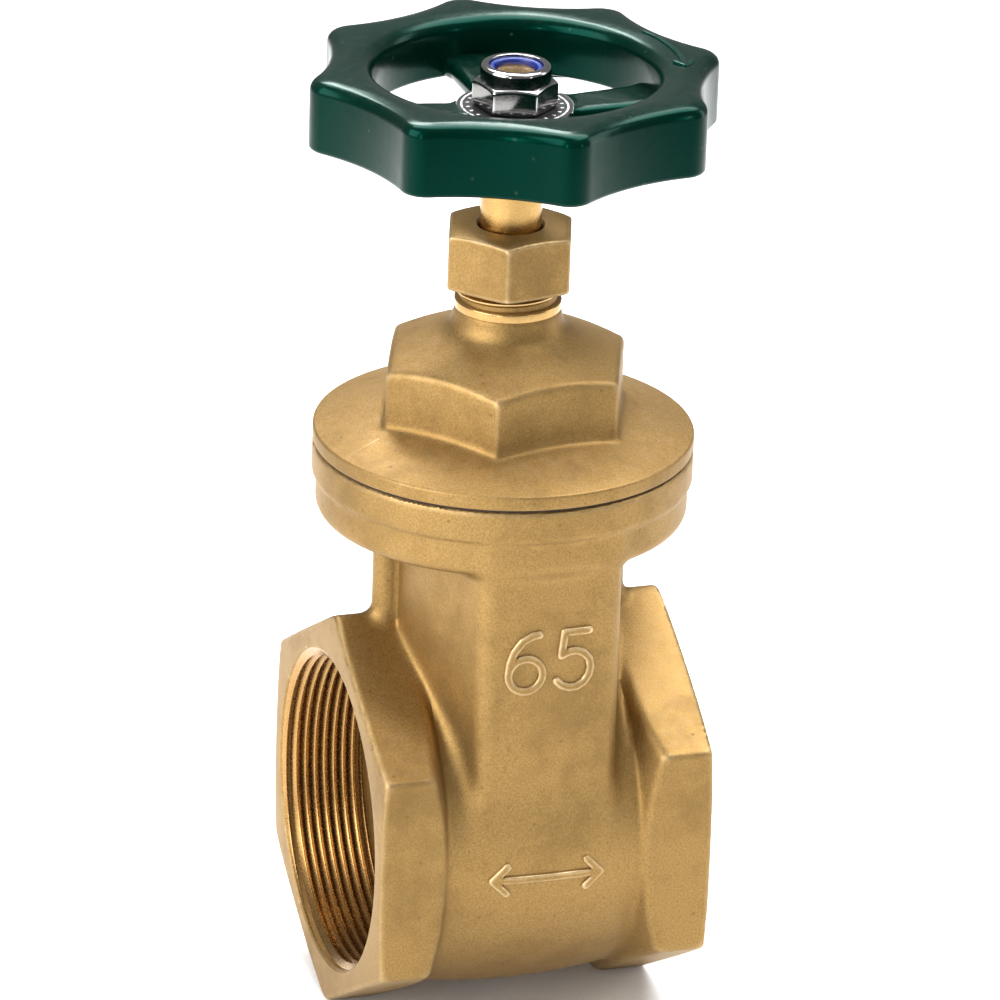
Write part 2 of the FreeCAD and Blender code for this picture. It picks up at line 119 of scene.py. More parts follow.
def turnedMesh(name, profile, steps=128, axis="Z"):  # closed lathe solid from (radius, height) points in mm
    points, faces = [], []
    rings = []
    for radius, height in profile:
        if radius < 1e-6:
            rings.append([len(points)])
            points.append((0, 0, height))
            continue
        rings.append(list(range(len(points), len(points) + steps)))
        for k in range(steps):
            a = 2 * math.pi * k / steps
            points.append((radius * math.cos(a), radius * math.sin(a), height))
    rings.append(rings[0])
    for lower, upper in zip(rings, rings[1:]):
        if len(lower) == 1 and len(upper) == 1:
            continue
        for k in range(steps):
            n = (k + 1) % steps
            if len(lower) == 1:
                faces.append((lower[0], upper[n], upper[k]))
            elif len(upper) == 1:
                faces.append((lower[k], lower[n], upper[0]))
            else:
                faces.append((lower[k], lower[n], upper[n], upper[k]))
    if axis == "X":
        points = [(h, x, y) for x, y, h in points]
    mesh = meshFromLists(name, points, faces)
    fixNormals(mesh)
    return mesh


def fixNormals(mesh):
    work = bmesh.new()
    work.from_mesh(mesh)
    bmesh.ops.remove_doubles(work, verts=work.verts, dist=1e-7)
    bmesh.ops.recalc_face_normals(work, faces=work.faces)
    work.to_mesh(mesh)
    work.free()


def boxMesh(name, low, high):  # plain block for cutting
    xs, ys, zs = zip(low, high)
    points = [(x, y, z) for x in xs for y in ys for z in zs]
    faces = [(0, 1, 3, 2), (4, 6, 7, 5), (0, 4, 5, 1), (2, 3, 7, 6), (0, 2, 6, 4), (1, 5, 7, 3)]
    mesh = meshFromLists(name, points, faces)
    fixNormals(mesh)
    return mesh


def softMin(a, b, k):
    h = np.maximum(k - np.abs(a - b), 0) / k
    return np.minimum(a, b) - h * h * k / 4


def softMax(a, b, k):
    return -softMin(-a, -b, k)


def hexDistance(u, v, flat, corner):  # corners on the u axis, rounded
    flat = flat - corner
    u, v = np.abs(u), np.abs(v)
    fold = 2 * np.minimum(-0.8660254 * u + 0.5 * v, 0)
    u = u + 0.8660254 * fold
    v = v - 0.5 * fold
    u = u - np.clip(u, -0.57735027 * flat, 0.57735027 * flat)
    v = v - flat
    return np.hypot(u, v) * np.sign(v) - corner


def forgedMesh(name, field, low, high, step):  # surface of field < 0, all in mm
    axes = [np.arange(low[i], high[i] + step, step) for i in range(3)]
    value = field(*np.meshgrid(*axes, indexing="ij")).astype(np.float32)
    inside = value < 0
    size = value.shape
    count = np.zeros([n - 1 for n in size], np.int8)
    for i in (0, 1):
        for j in (0, 1):
            for k in (0, 1):
                count += inside[i:size[0] - 1 + i, j:size[1] - 1 + j, k:size[2] - 1 + k]
    active = (count > 0) & (count < 8)
    index = np.full(active.shape, -1)
    index[active] = np.arange(int(active.sum()))
    cell = np.argwhere(active)
    total = np.zeros((len(cell), 3))
    hits = np.zeros(len(cell))
    for axis in range(3):
        across = [a for a in range(3) if a != axis]
        for i in (0, 1):
            for j in (0, 1):
                start = cell.copy()
                start[:, across[0]] += i
                start[:, across[1]] += j
                end = start.copy()
                end[:, axis] += 1
                first, last = value[tuple(start.T)], value[tuple(end.T)]
                crossed = (first < 0) != (last < 0)
                point = start[crossed].astype(float)
                point[:, axis] += first[crossed] / (first[crossed] - last[crossed])
                total[crossed] += point
                hits[crossed] += 1
    points = np.array(low) + step * total / hits[:, None]
    for _ in range(4):  # settle each point on the surface
        here, slope = fieldSlope(field, points, 0.02)
        move = slope * (here / np.maximum((slope ** 2).sum(1), 0.2))[:, None]
        longest = np.linalg.norm(move, axis=1)
        points -= move * np.minimum(1, 0.4 * step / np.maximum(longest, 1e-9))[:, None]
    quads = []
    for axis in range(3):
        u, v = (axis + 1) % 3, (axis + 2) % 3
        lower = [slice(None)] * 3
        upper = [slice(None)] * 3
        lower[axis], upper[axis] = slice(0, -1), slice(1, None)
        below, above = inside[tuple(lower)], inside[tuple(upper)]
        edge = np.argwhere(below != above)
        corners = []
        for du, dv in ((-1, -1), (0, -1), (0, 0), (-1, 0)):
            place = edge.copy()
            place[:, u] += du
            place[:, v] += dv
            corners.append(index[tuple(place.T)])
        quad = np.stack(corners, 1)
        turned = ~below[tuple(edge.T)]
        quad[turned] = quad[turned][:, ::-1]
        quads.append(quad)
    quads = np.concatenate(quads)
    mesh = bpy.data.meshes.new(name)
    mesh.from_pydata((points * mm).tolist(), [], quads.tolist())
    mesh.update()
    return mesh


def fieldSlope(field, points, reach):
    x, y, z = points.T
    here = field(x, y, z)
    slope = np.stack([
        field(x + reach, y, z) - field(x - reach, y, z),
        field(x, y + reach, z) - field(x, y - reach, z),
        field(x, y, z + reach) - field(x, y, z - reach)], 1) / (2 * reach)
    return here, slope


def prismDistance(a, b, planes, k):  # convex outline from (normal a, normal b, offset) rows, softened corners
    result = None
    for na, nb, offset in planes:
        d = na * a + nb * b - offset
        result = d if result is None else softMax(result, d, k)
    return result


cameraSizes = dict(turn=-18.51, rise=22.53, lean=2.02, distance=2000.0, aim=(-0.21, 0.0, 74.16), lens=312.3)


def makeCamera(c):
    turn, rise = math.radians(c["turn"]), math.radians(c["rise"])
    back = Vector((math.sin(turn) * math.cos(rise), -math.cos(turn) * math.cos(rise), math.sin(rise)))
    data = bpy.data.cameras.new("studioCamera")
    data.lens = c["lens"]
    data.sensor_width = 36.0
    data.clip_start, data.clip_end = 0.05, 50.0
    camera = addObject(data)
    camera.rotation_mode = "QUATERNION"
    camera.location = (Vector(c["aim"]) + back * c["distance"]) * mm
    aim = (-back).to_track_quat("-Z", "Y").to_matrix()
    camera.rotation_quaternion = (aim @ Matrix.Rotation(math.radians(c["lean"]), 3, "Z")).to_quaternion()
    scene.camera = camera


makeCamera(cameraSizes)
print("camera ready")


def filletLoop(corners, steps=4):  # closed outline from (across, up, rounding) rows
    loop = []
    count = len(corners)
    for k in range(count):
        here = Vector(corners[k][:2])
        before, after = Vector(corners[k - 1][:2]) - here, Vector(corners[(k + 1) % count][:2]) - here
        radius = corners[k][2] if len(corners[k]) > 2 else 0
        if radius <= 0:
            loop.append(tuple(here))
            continue
        back, ahead = before.normalized(), after.normalized()
        half = back.angle(ahead) / 2
        run = min(radius / math.tan(half), before.length * 0.49, after.length * 0.49)
        radius = run * math.tan(half)
        middle = here + (back + ahead).normalized() * (radius / math.sin(half))
        start, end = here + back * run - middle, here + ahead * run - middle
        sweep = start.angle_signed(end)
        for i in range(steps + 1):
            a = -sweep * i / steps
            cosine, sine = math.cos(a), math.sin(a)
            spun = Vector((start.x * cosine - start.y * sine, start.x * sine + start.y * cosine))
            loop.append(tuple(middle + spun))
    return loop


def lathe(name, corners, steps=128, rounding=4, axis="Z"):
    loop = filletLoop(corners, rounding)
    first = min(range(len(loop)), key=lambda k: (loop[k][0] > 1e-6, loop[k][1]))
    loop = loop[first:] + loop[:first]
    return turnedMesh(name, [(max(r, 0.0), h) for r, h in loop], steps, axis)


def markProud(thing, reach=0.35):  # stores how far each point stands proud, for the edge wear, the painted shade in hollows and the painted edge highlight
    mesh = thing.data
    count = len(mesh.vertices)
    place = np.empty(count * 3)
    mesh.vertices.foreach_get("co", place)
    place = place.reshape(-1, 3) / mm
    normal = np.empty(count * 3)
    mesh.vertex_normals.foreach_get("vector", normal)
    normal = normal.reshape(-1, 3)
    edge = np.empty(len(mesh.edges) * 2, int)
    mesh.edges.foreach_get("vertices", edge)
    edge = edge.reshape(-1, 2)
    run = place[edge[:, 1]] - place[edge[:, 0]]
    length = np.maximum(np.linalg.norm(run, axis=1), 1e-6)
    bend = ((normal[edge[:, 1]] - normal[edge[:, 0]]) * run).sum(1) / length ** 2
    value, weight = np.zeros(count), np.zeros(count)
    for side in (0, 1):
        np.add.at(value, edge[:, side], bend * length)
        np.add.at(weight, edge[:, side], length)
    value = value / np.maximum(weight, 1e-6)
    for _ in range(2):
        spread, seen = np.zeros(count), np.zeros(count)
        for side in (0, 1):
            np.add.at(spread, edge[:, side], value[edge[:, 1 - side]])
            np.add.at(seen, edge[:, side], 1)
        value = 0.5 * value + 0.5 * spread / np.maximum(seen, 1)
    wearAndPaintedLight = mesh.attributes.new("proud", "FLOAT", "POINT")
    wearAndPaintedLight.data.foreach_set("value", np.clip(value * reach, -1, 1))


def finishPiece(thing, material, body, node=None, angle=38.0, wearAndPaintedLight=True):
    shade(thing, angle)
    if wearAndPaintedLight:
        markProud(thing)
    if material.name not in [m.name for m in thing.data.materials if m]:
        thing.data.materials.append(material)
    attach(thing, body)
    if node:
        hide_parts(node)
    print(thing.name, "has", len(thing.data.polygons), "faces")
    return thing


def put(tree, kind, **values):
    node = tree.nodes.new(kind)
    for key, value in values.items():
        setattr(node, key, value)
    return node


def feed(tree, socket, value):
    if isinstance(value, bpy.types.NodeSocket):
        tree.links.new(value, socket)
    else:
        socket.default_value = value


def calc(tree, operation, *values, clamp=False):
    node = put(tree, "ShaderNodeMath", operation=operation, use_clamp=clamp)
    for socket, value in zip(node.inputs, values):
        feed(tree, socket, value)
    return node.outputs[0]


def times(tree, *values, clamp=False):
    return calc(tree, "MULTIPLY", *values, clamp=clamp)


def plus(tree, *values):
    return calc(tree, "ADD", *values)


def minus(tree, *values, clamp=False):
    return calc(tree, "SUBTRACT", *values, clamp=clamp)


def ranged(tree, value, low, high, toLow=0.0, toHigh=1.0):
    node = put(tree, "ShaderNodeMapRange")
    for socket, item in zip(node.inputs, (value, low, high, toLow, toHigh)):
        feed(tree, socket, item)
    return node.outputs[0]


def blendColor(tree, factor, first, second, mode="MIX"):
    node = put(tree, "ShaderNodeMix", data_type="RGBA", blend_type=mode)
    feed(tree, node.inputs[0], factor)
    feed(tree, node.inputs[6], first)
    feed(tree, node.inputs[7], second)
    return node.outputs[2]


def socketIn(tree, kind, name, value=None, low=None, high=None):
    item = tree.interface.new_socket(name, in_out="INPUT", socket_type=kind)
    if value is not None:
        item.default_value = value
    if low is not None:
        item.min_value = low
    if high is not None:
        item.max_value = high
    return item


def socketOut(tree, kind, name):
    return tree.interface.new_socket(name, in_out="OUTPUT", socket_type=kind)


def floatIn(tree, name, value, low, high):
    return socketIn(tree, "NodeSocketFloat", name, value, low, high)


def floatOut(tree, name):
    return socketOut(tree, "NodeSocketFloat", name)


def noise(tree, place, scale, detail=3.0, roughness=0.55, output=0):
    node = put(tree, "ShaderNodeTexNoise")
    feed(tree, node.inputs["Vector"], place)
    feed(tree, node.inputs["Scale"], scale)
    node.inputs["Detail"].default_value = detail
    node.inputs["Roughness"].default_value = roughness
    return node.outputs[output]


def effectGroup(name, knob, value, low, high, results):  # takes a place and one knob
    tree = bpy.data.node_groups.new(name, "ShaderNodeTree")
    start, end = put(tree, "NodeGroupInput"), put(tree, "NodeGroupOutput")
    socketIn(tree, "NodeSocketVector", "Place")
    floatIn(tree, knob, value, low, high)
    for result in results:
        floatOut(tree, result)
    return tree, start.outputs["Place"], start.outputs[knob], end


def makeGrain():  # fine cast or blasted skin, as a height and a speckle
    tree, place, scale, end = effectGroup("fineGrain", "Scale", 1500.0, 1.0, 100000.0, ("Height", "Speckle"))
    fine = noise(tree, place, scale, 2.0, 0.6)
    broad = noise(tree, place, times(tree, scale, 0.22), 2.0, 0.5)
    height = plus(tree, times(tree, fine, 0.6), times(tree, broad, 0.4))
    feed(tree, end.inputs["Height"], height)
    feed(tree, end.inputs["Speckle"], ranged(tree, fine, 0.35, 0.65))
    return tree


def makeTarnish():  # brown clouds, small dark pits and pale scratches
    tree, place, amount, end = effectGroup("tarnish", "Amount", 0.5, 0.0, 1.0, ("Cloud", "Pits", "Scratches"))
    large = noise(tree, place, 38.0, 4.0, 0.6)
    small = noise(tree, place, 190.0, 3.0, 0.6)
    cloud = plus(tree, times(tree, large, 0.7), times(tree, small, 0.3))
    cloud = times(tree, ranged(tree, cloud, 0.46, 0.68), amount)
    cells = put(tree, "ShaderNodeTexVoronoi", feature="F1")
    feed(tree, cells.inputs["Vector"], place)
    cells.inputs["Scale"].default_value = 330.0
    chance = put(tree, "ShaderNodeSeparateColor")
    feed(tree, chance.inputs[0], cells.outputs["Color"])
    spot = ranged(tree, cells.outputs["Distance"], 0.17, 0.06)
    rare = ranged(tree, plus(tree, chance.outputs[0], times(tree, large, 0.5)), 1.02, 1.08)
    pits = times(tree, spot, rare)
    stretch = put(tree, "ShaderNodeMapping")
    feed(tree, stretch.inputs["Vector"], place)
    stretch.inputs["Rotation"].default_value = (0.6, 0.9, 0.4)
    stretch.inputs["Scale"].default_value = (60.0, 900.0, 900.0)
    lines = noise(tree, stretch.outputs[0], 1.0, 2.0, 0.5)
    feed(tree, end.inputs["Cloud"], cloud)
    feed(tree, end.inputs["Pits"], times(tree, pits, amount, clamp=True))
    feed(tree, end.inputs["Scratches"], ranged(tree, lines, 0.72, 0.80))
    return tree


def makeEdgeWearAndPaintedLight():  # bright rubbed edges and painted shade in inner corners, from the stored shape; on the enamel the bright edges are a painted highlight
    tree, place, amount, end = effectGroup("edgeWearAndPaintedLight", "Amount", 0.6, 0.0, 1.0, ("Proud Edge", "Painted Shade"))
    stored = put(tree, "ShaderNodeAttribute", attribute_name="proud")
    value = stored.outputs["Fac"]
    uneven = ranged(tree, noise(tree, place, 260.0, 3.0, 0.6), 0.3, 0.7, 0.35, 1.0)
    proudEdge = times(tree, ranged(tree, value, 0.05, 0.28), uneven)
    feed(tree, end.inputs["Proud Edge"], times(tree, proudEdge, amount, clamp=True))
    # painted shade: a darkening mask for hollows and inner corners
    feed(tree, end.inputs["Painted Shade"], ranged(tree, value, -0.03, -0.25))
    return tree


def makeDust():  # thin pale dust on faces that look up
    tree, place, amount, end = effectGroup("dust", "Amount", 0.1, 0.0, 1.0, ("Dust",))
    shape = put(tree, "ShaderNodeNewGeometry")
    split = put(tree, "ShaderNodeSeparateXYZ")
    feed(tree, split.inputs[0], shape.outputs["Normal"])
    patch = ranged(tree, noise(tree, place, 420.0, 4.0, 0.7), 0.45, 0.75)
    dust = times(tree, ranged(tree, split.outputs["Z"], 0.4, 1.0), patch)
    feed(tree, end.inputs["Dust"], times(tree, dust, amount))
    return tree


grainGroup, tarnishGroup, wearAndPaintedLightGroup, dustGroup = makeGrain(), makeTarnish(), makeEdgeWearAndPaintedLight(), makeDust()


def useGroup(tree, group, place, **values):
    node = put(tree, "ShaderNodeGroup", node_tree=group)
    feed(tree, node.inputs["Place"], place)
    for key, value in values.items():
        node.inputs[key.capitalize()].default_value = value
    return node.outputs


def bumped(tree, shader, height, strength, distance):
    bump = put(tree, "ShaderNodeBump")
    bump.inputs["Strength"].default_value = strength
    bump.inputs["Distance"].default_value = distance
    feed(tree, bump.inputs["Height"], height)
    feed(tree, shader.inputs["Normal"], bump.outputs[0])


def newMaterial(name):
    material = bpy.data.materials.new(name)
    material.use_nodes = True
    tree = material.node_tree
    place = put(tree, "ShaderNodeTexCoord").outputs["Object"]
    return material, tree, tree.nodes["Principled BSDF"], place


def makeMetal(name, m):
    material, tree, shader, place = newMaterial(name)
    grain = useGroup(tree, grainGroup, place, scale=m["grainScale"])
    stain = useGroup(tree, tarnishGroup, place, amount=m["tarnish"])
    wearAndPaintedLight = useGroup(tree, wearAndPaintedLightGroup, place, amount=m["wearAndPaintedLight"])
    dust = useGroup(tree, dustGroup, place, amount=m["dust"])
    color = blendColor(tree, grain["Speckle"], (*m["dark"], 1), (*m["light"], 1))
    color = blendColor(tree, stain["Cloud"], color, (*m["stain"], 1))
    # painted shade: hollows and inner corners darkened towards the recess colour
    color = blendColor(tree, times(tree, wearAndPaintedLight["Painted Shade"], 0.7), color, (*m["paintedShade"], 1))
    color = blendColor(tree, wearAndPaintedLight["Proud Edge"], color, (*m["edge"], 1))
    color = blendColor(tree, times(tree, stain["Pits"], m["pits"]), color, (*m["pit"], 1))
    color = blendColor(tree, dust["Dust"], color, (0.7, 0.66, 0.6, 1))
    feed(tree, shader.inputs["Base Color"], color)
    rough = plus(tree, m["roughness"], times(tree, stain["Cloud"], 0.14))
    rough = plus(tree, rough, times(tree, grain["Speckle"], m["grainRough"]))
    rough = minus(tree, rough, times(tree, wearAndPaintedLight["Proud Edge"], m["roughness"] * 0.3), clamp=True)
    feed(tree, shader.inputs["Roughness"], rough)
    shader.inputs["Metallic"].default_value = m["metallic"]
    if m.get("lines"):
        split = put(tree, "ShaderNodeSeparateXYZ")
        feed(tree, split.inputs[0], place)
        wave = noise(tree, times(tree, split.outputs["Z"], m["lines"]), 1.0, 2.0, 0.6)
        bumped(tree, shader, plus(tree, wave, times(tree, grain["Height"], 0.15)), 0.25, 0.00006)
    else:
        height = minus(tree, grain["Height"], times(tree, stain["Pits"], 1.2))
        bumped(tree, shader, height, m["bump"], m["bumpDepth"])
    return material


forgedSizes = dict(
    dark=(0.250, 0.150, 0.046), light=(0.350, 0.220, 0.078), stain=(0.145, 0.083, 0.025),
    # the recess colour is painted shade for hollows and inner corners
    paintedShade=(0.24, 0.125, 0.026),
    edge=(0.74, 0.57, 0.33), pit=(0.09, 0.05, 0.02), pits=0.9, metallic=0.86, roughness=0.47, grainRough=0.08,
    grainScale=2100.0, tarnish=0.5, wearAndPaintedLight=0.75, dust=0.05, bump=0.55, bumpDepth=0.00016)
turnedSizes = dict(
    forgedSizes, dark=(0.42, 0.255, 0.085), light=(0.50, 0.32, 0.12), stain=(0.30, 0.16, 0.045),
    # the recess colour is painted shade for hollows and inner corners
    paintedShade=(0.32, 0.13, 0.02),
    metallic=1.0, roughness=0.17, grainRough=0.04, tarnish=0.35, wearAndPaintedLight=0.5, dust=0.0, lines=9000.0, pits=0.3)
boreSizes = dict(
    forgedSizes, dark=(0.34, 0.185, 0.055), light=(0.42, 0.24, 0.080), stain=(0.22, 0.10, 0.03),
    # the recess colour is painted shade for hollows and inner corners
    paintedShade=(0.10, 0.036, 0.008),
    metallic=1.0, roughness=0.26, grainRough=0.03, tarnish=0.15, wearAndPaintedLight=0.6, dust=0.0, bump=0.12,
    bumpDepth=0.00006, pits=0.1)
steelSizes = dict(
    forgedSizes, dark=(0.24, 0.235, 0.23), light=(0.34, 0.33, 0.32), stain=(0.2, 0.19, 0.17),
    # the recess colour is painted shade for hollows and inner corners
    paintedShade=(0.2, 0.19, 0.18),
    edge=(0.9, 0.9, 0.9), pit=(0.2, 0.2, 0.2), metallic=1.0, roughness=0.11, grainRough=0.04, tarnish=0.25,
    wearAndPaintedLight=0.6,
    dust=0.0, bump=0.15, bumpDepth=0.00005, pits=0.4)
forgedBrass = makeMetal("forgedBrass", forgedSizes)
turnedBrass = makeMetal("turnedBrass", turnedSizes)
boreBrass = makeMetal("boreBrass", boreSizes)
stainless = makeMetal("stainless", steelSizes)


def makeEnamel(name, m):  # glossy paint, lighter on edges as a painted highlight
    material, tree, shader, place = newMaterial(name)
    stain = useGroup(tree, tarnishGroup, place, amount=1.0)
    wearAndPaintedLight = useGroup(tree, wearAndPaintedLightGroup, place, amount=m["wearAndPaintedLight"])
    dust = useGroup(tree, dustGroup, place, amount=m["dust"])
    tone = noise(tree, place, 60.0, 2.0)
    color = blendColor(tree, tone, (*m["dark"], 1), (*m["light"], 1))
    # painted highlight: lighter green along the proud edges of the rim
    color = blendColor(tree, times(tree, wearAndPaintedLight["Proud Edge"], 0.35), color, (*m["edge"], 1))
    color = blendColor(tree, times(tree, stain["Pits"], m["specks"]), color, (0.5, 0.55, 0.5, 1))
    color = blendColor(tree, dust["Dust"], color, (0.6, 0.62, 0.6, 1))
    feed(tree, shader.inputs["Base Color"], color)
    rough = plus(tree, m["roughness"], times(tree, stain["Scratches"], 0.12))
    feed(tree, shader.inputs["Roughness"], rough)
    for socket, value in m["gloss"].items():
        shader.inputs[socket].default_value = value
    ripple = plus(tree, noise(tree, place, 110.0, 2.0), times(tree, noise(tree, place, 700.0, 2.0), 0.03))
    bumped(tree, shader, ripple, 0.25, 0.0005)
    return material


enamelSizes = dict(
    # the edge colour and wear amount set the painted highlight on the rim's edges
    dark=(0.00005, 0.0065, 0.0038), light=(0.0001, 0.011, 0.0066), edge=(0.005, 0.12, 0.09), wearAndPaintedLight=0.55,
    dust=0.01,
    specks=0.04, roughness=0.22, gloss={
        "Specular IOR Level": 0.28, "Specular Tint": (0.008, 0.50, 0.36, 1), "Coat Weight": 0.14,
        "Coat IOR": 1.18,
        "Coat Roughness": 0.05})
greenEnamel = makeEnamel("greenEnamel", enamelSizes)


def makePlastic(name, dark, light, roughness, scale=300.0, bump=0.1):
    material, tree, shader, place = newMaterial(name)
    grain = useGroup(tree, grainGroup, place, scale=scale * 6)
    dust = useGroup(tree, dustGroup, place, amount=0.08)
    color = blendColor(tree, noise(tree, place, scale, 3.0), (*dark, 1), (*light, 1))
    color = blendColor(tree, dust["Dust"], color, (0.6, 0.6, 0.58, 1))
    feed(tree, shader.inputs["Base Color"], color)
    feed(tree, shader.inputs["Roughness"], plus(tree, roughness, times(tree, grain["Speckle"], 0.08)))
    bumped(tree, shader, grain["Height"], bump, 0.00008)
    return material


blueNylon = makePlastic("blueNylon", (0.004, 0.014, 0.13), (0.008, 0.03, 0.24), 0.30)
whitePtfe = makePlastic("whitePtfe", (0.74, 0.74, 0.70), (0.88, 0.88, 0.85), 0.50)
fibreGasket = makePlastic("fibreGasket", (0.016, 0.010, 0.007), (0.05, 0.032, 0.02), 0.80, 900.0, 0.5)
grayPacking = makePlastic("grayPacking", (0.10, 0.10, 0.10), (0.2, 0.2, 0.2), 0.7, 900.0, 0.5)
labelSizes = dict(ringR=0.01215, ringHalf=0.00022, tickLow=0.0104, tickHigh=0.0112, ticks=24.0)


def makeLabel(m):  # black plate printed with a ring and small ticks
    material, tree, shader, place = newMaterial("blackLabel")
    split = put(tree, "ShaderNodeSeparateXYZ")
    feed(tree, split.inputs[0], place)
    x, y = split.outputs["X"], split.outputs["Y"]
    radius = calc(tree, "SQRT", plus(tree, times(tree, x, x), times(tree, y, y)))
    ring = calc(tree, "LESS_THAN", calc(tree, "ABSOLUTE", minus(tree, radius, m["ringR"])), m["ringHalf"])
    angle = times(tree, calc(tree, "ARCTAN2", y, x), m["ticks"] / (2 * math.pi))
    near = calc(tree, "ABSOLUTE", minus(tree, calc(tree, "FRACT", angle), 0.5))
    band = times(tree, calc(tree, "GREATER_THAN", radius, m["tickLow"]),
        calc(tree, "LESS_THAN", radius, m["tickHigh"]))
    tick = times(tree, calc(tree, "LESS_THAN", near, 0.10), band)
    worn = ranged(tree, noise(tree, place, 900.0, 3.0), 0.3, 0.5)
    printed = times(tree, calc(tree, "MAXIMUM", ring, tick), worn)
    color = blendColor(tree, printed, (0.010, 0.010, 0.011, 1), (0.75, 0.75, 0.74, 1))
    feed(tree, shader.inputs["Base Color"], color)
    grain = useGroup(tree, grainGroup, place, scale=1800.0)
    feed(tree, shader.inputs["Roughness"], plus(tree, 0.28, times(tree, grain["Speckle"], 0.1)))
    bumped(tree, shader, grain["Height"], 0.1, 0.00005)
    return material


blackLabel = makeLabel(labelSizes)
print("finishes ready")


def sheetTree(name):  # grid whose columns follow the profile fed in and whose rows run along the sweep
    tree = bpy.data.node_groups.new(name, "GeometryNodeTree")
    start, end = put(tree, "NodeGroupInput"), put(tree, "NodeGroupOutput")
    socketIn(tree, "NodeSocketGeometry", "Profile")
    socketIn(tree, "NodeSocketInt", "Steps", 400, 3, 20000)
    socketIn(tree, "NodeSocketMaterial", "Finish")
    socketOut(tree, "NodeSocketGeometry", "Geometry")
    size = put(tree, "GeometryNodeAttributeDomainSize")
    feed(tree, size.inputs[0], start.outputs["Profile"])
    rowLength = plus(tree, size.outputs["Point Count"], 1.0)
    grid = put(tree, "GeometryNodeMeshGrid")
    feed(tree, grid.inputs["Vertices X"], plus(tree, start.outputs["Steps"], 1.0))
    feed(tree, grid.inputs["Vertices Y"], rowLength)
    index = put(tree, "GeometryNodeInputIndex").outputs[0]
    row = calc(tree, "FLOOR", calc(tree, "DIVIDE", plus(tree, index, 0.5), rowLength))
    column = minus(tree, index, times(tree, row, rowLength))
    column = calc(tree, "ROUND", column)
    wrapped = times(tree, column, calc(tree, "LESS_THAN", column, minus(tree, rowLength, 1.5)))
    sample = put(tree, "GeometryNodeSampleIndex", data_type="FLOAT_VECTOR", domain="POINT")
    feed(tree, sample.inputs["Geometry"], start.outputs["Profile"])
    feed(tree, sample.inputs["Value"], put(tree, "GeometryNodeInputPosition").outputs[0])
    feed(tree, sample.inputs["Index"], wrapped)
    split = put(tree, "ShaderNodeSeparateXYZ")
    feed(tree, split.inputs[0], sample.outputs[0])
    along = calc(tree, "DIVIDE", row, start.outputs["Steps"])
    return tree, start, end, grid.outputs["Mesh"], along, split.outputs["X"], split.outputs["Z"]


def closeSheet(tree, start, end, grid, angle, radius, height):
    place = put(tree, "ShaderNodeCombineXYZ")
    feed(tree, place.inputs[0], times(tree, radius, calc(tree, "COSINE", angle)))
    feed(tree, place.inputs[1], times(tree, radius, calc(tree, "SINE", angle)))
    feed(tree, place.inputs[2], height)
    move = put(tree, "GeometryNodeSetPosition")
    feed(tree, move.inputs["Geometry"], grid)
    feed(tree, move.inputs["Position"], place.outputs[0])
    merge = put(tree, "GeometryNodeMergeByDistance")
    feed(tree, merge.inputs["Geometry"], move.outputs[0])
    merge.inputs["Distance"].default_value = 1e-6
    real = put(tree, "GeometryNodeRealizeInstances")
    feed(tree, real.inputs[0], merge.outputs[0])
    paint = put(tree, "GeometryNodeSetMaterial")
    feed(tree, paint.inputs["Geometry"], real.outputs[0])
    feed(tree, paint.inputs["Material"], start.outputs["Finish"])
    feed(tree, end.inputs[0], paint.outputs[0])


def makeThreadTree():  # helical ridge that fades into its wall at both ends
    tree, start, end, grid, along, across, up = sheetTree("threadRidge")
    floatIn(tree, "Turns", 8.0, 0.1, 500.0)
    floatIn(tree, "Pitch", 0.002, 0.0, 1.0)
    floatIn(tree, "Wall", 0.03, 0.0, 10.0)
    floatIn(tree, "Fade", 0.6, 0.01, 10.0)
    turn = times(tree, along, start.outputs["Turns"])
    left = minus(tree, start.outputs["Turns"], turn)
    fade = calc(tree, "DIVIDE", calc(tree, "MINIMUM", turn, left), start.outputs["Fade"], clamp=True)
    wall = start.outputs["Wall"]
    radius = plus(tree, wall, times(tree, minus(tree, across, wall), fade))
    height = plus(tree, times(tree, turn, start.outputs["Pitch"]), times(tree, up, fade))
    closeSheet(tree, start, end, grid, times(tree, turn, 2 * math.pi), radius, height)
    return tree


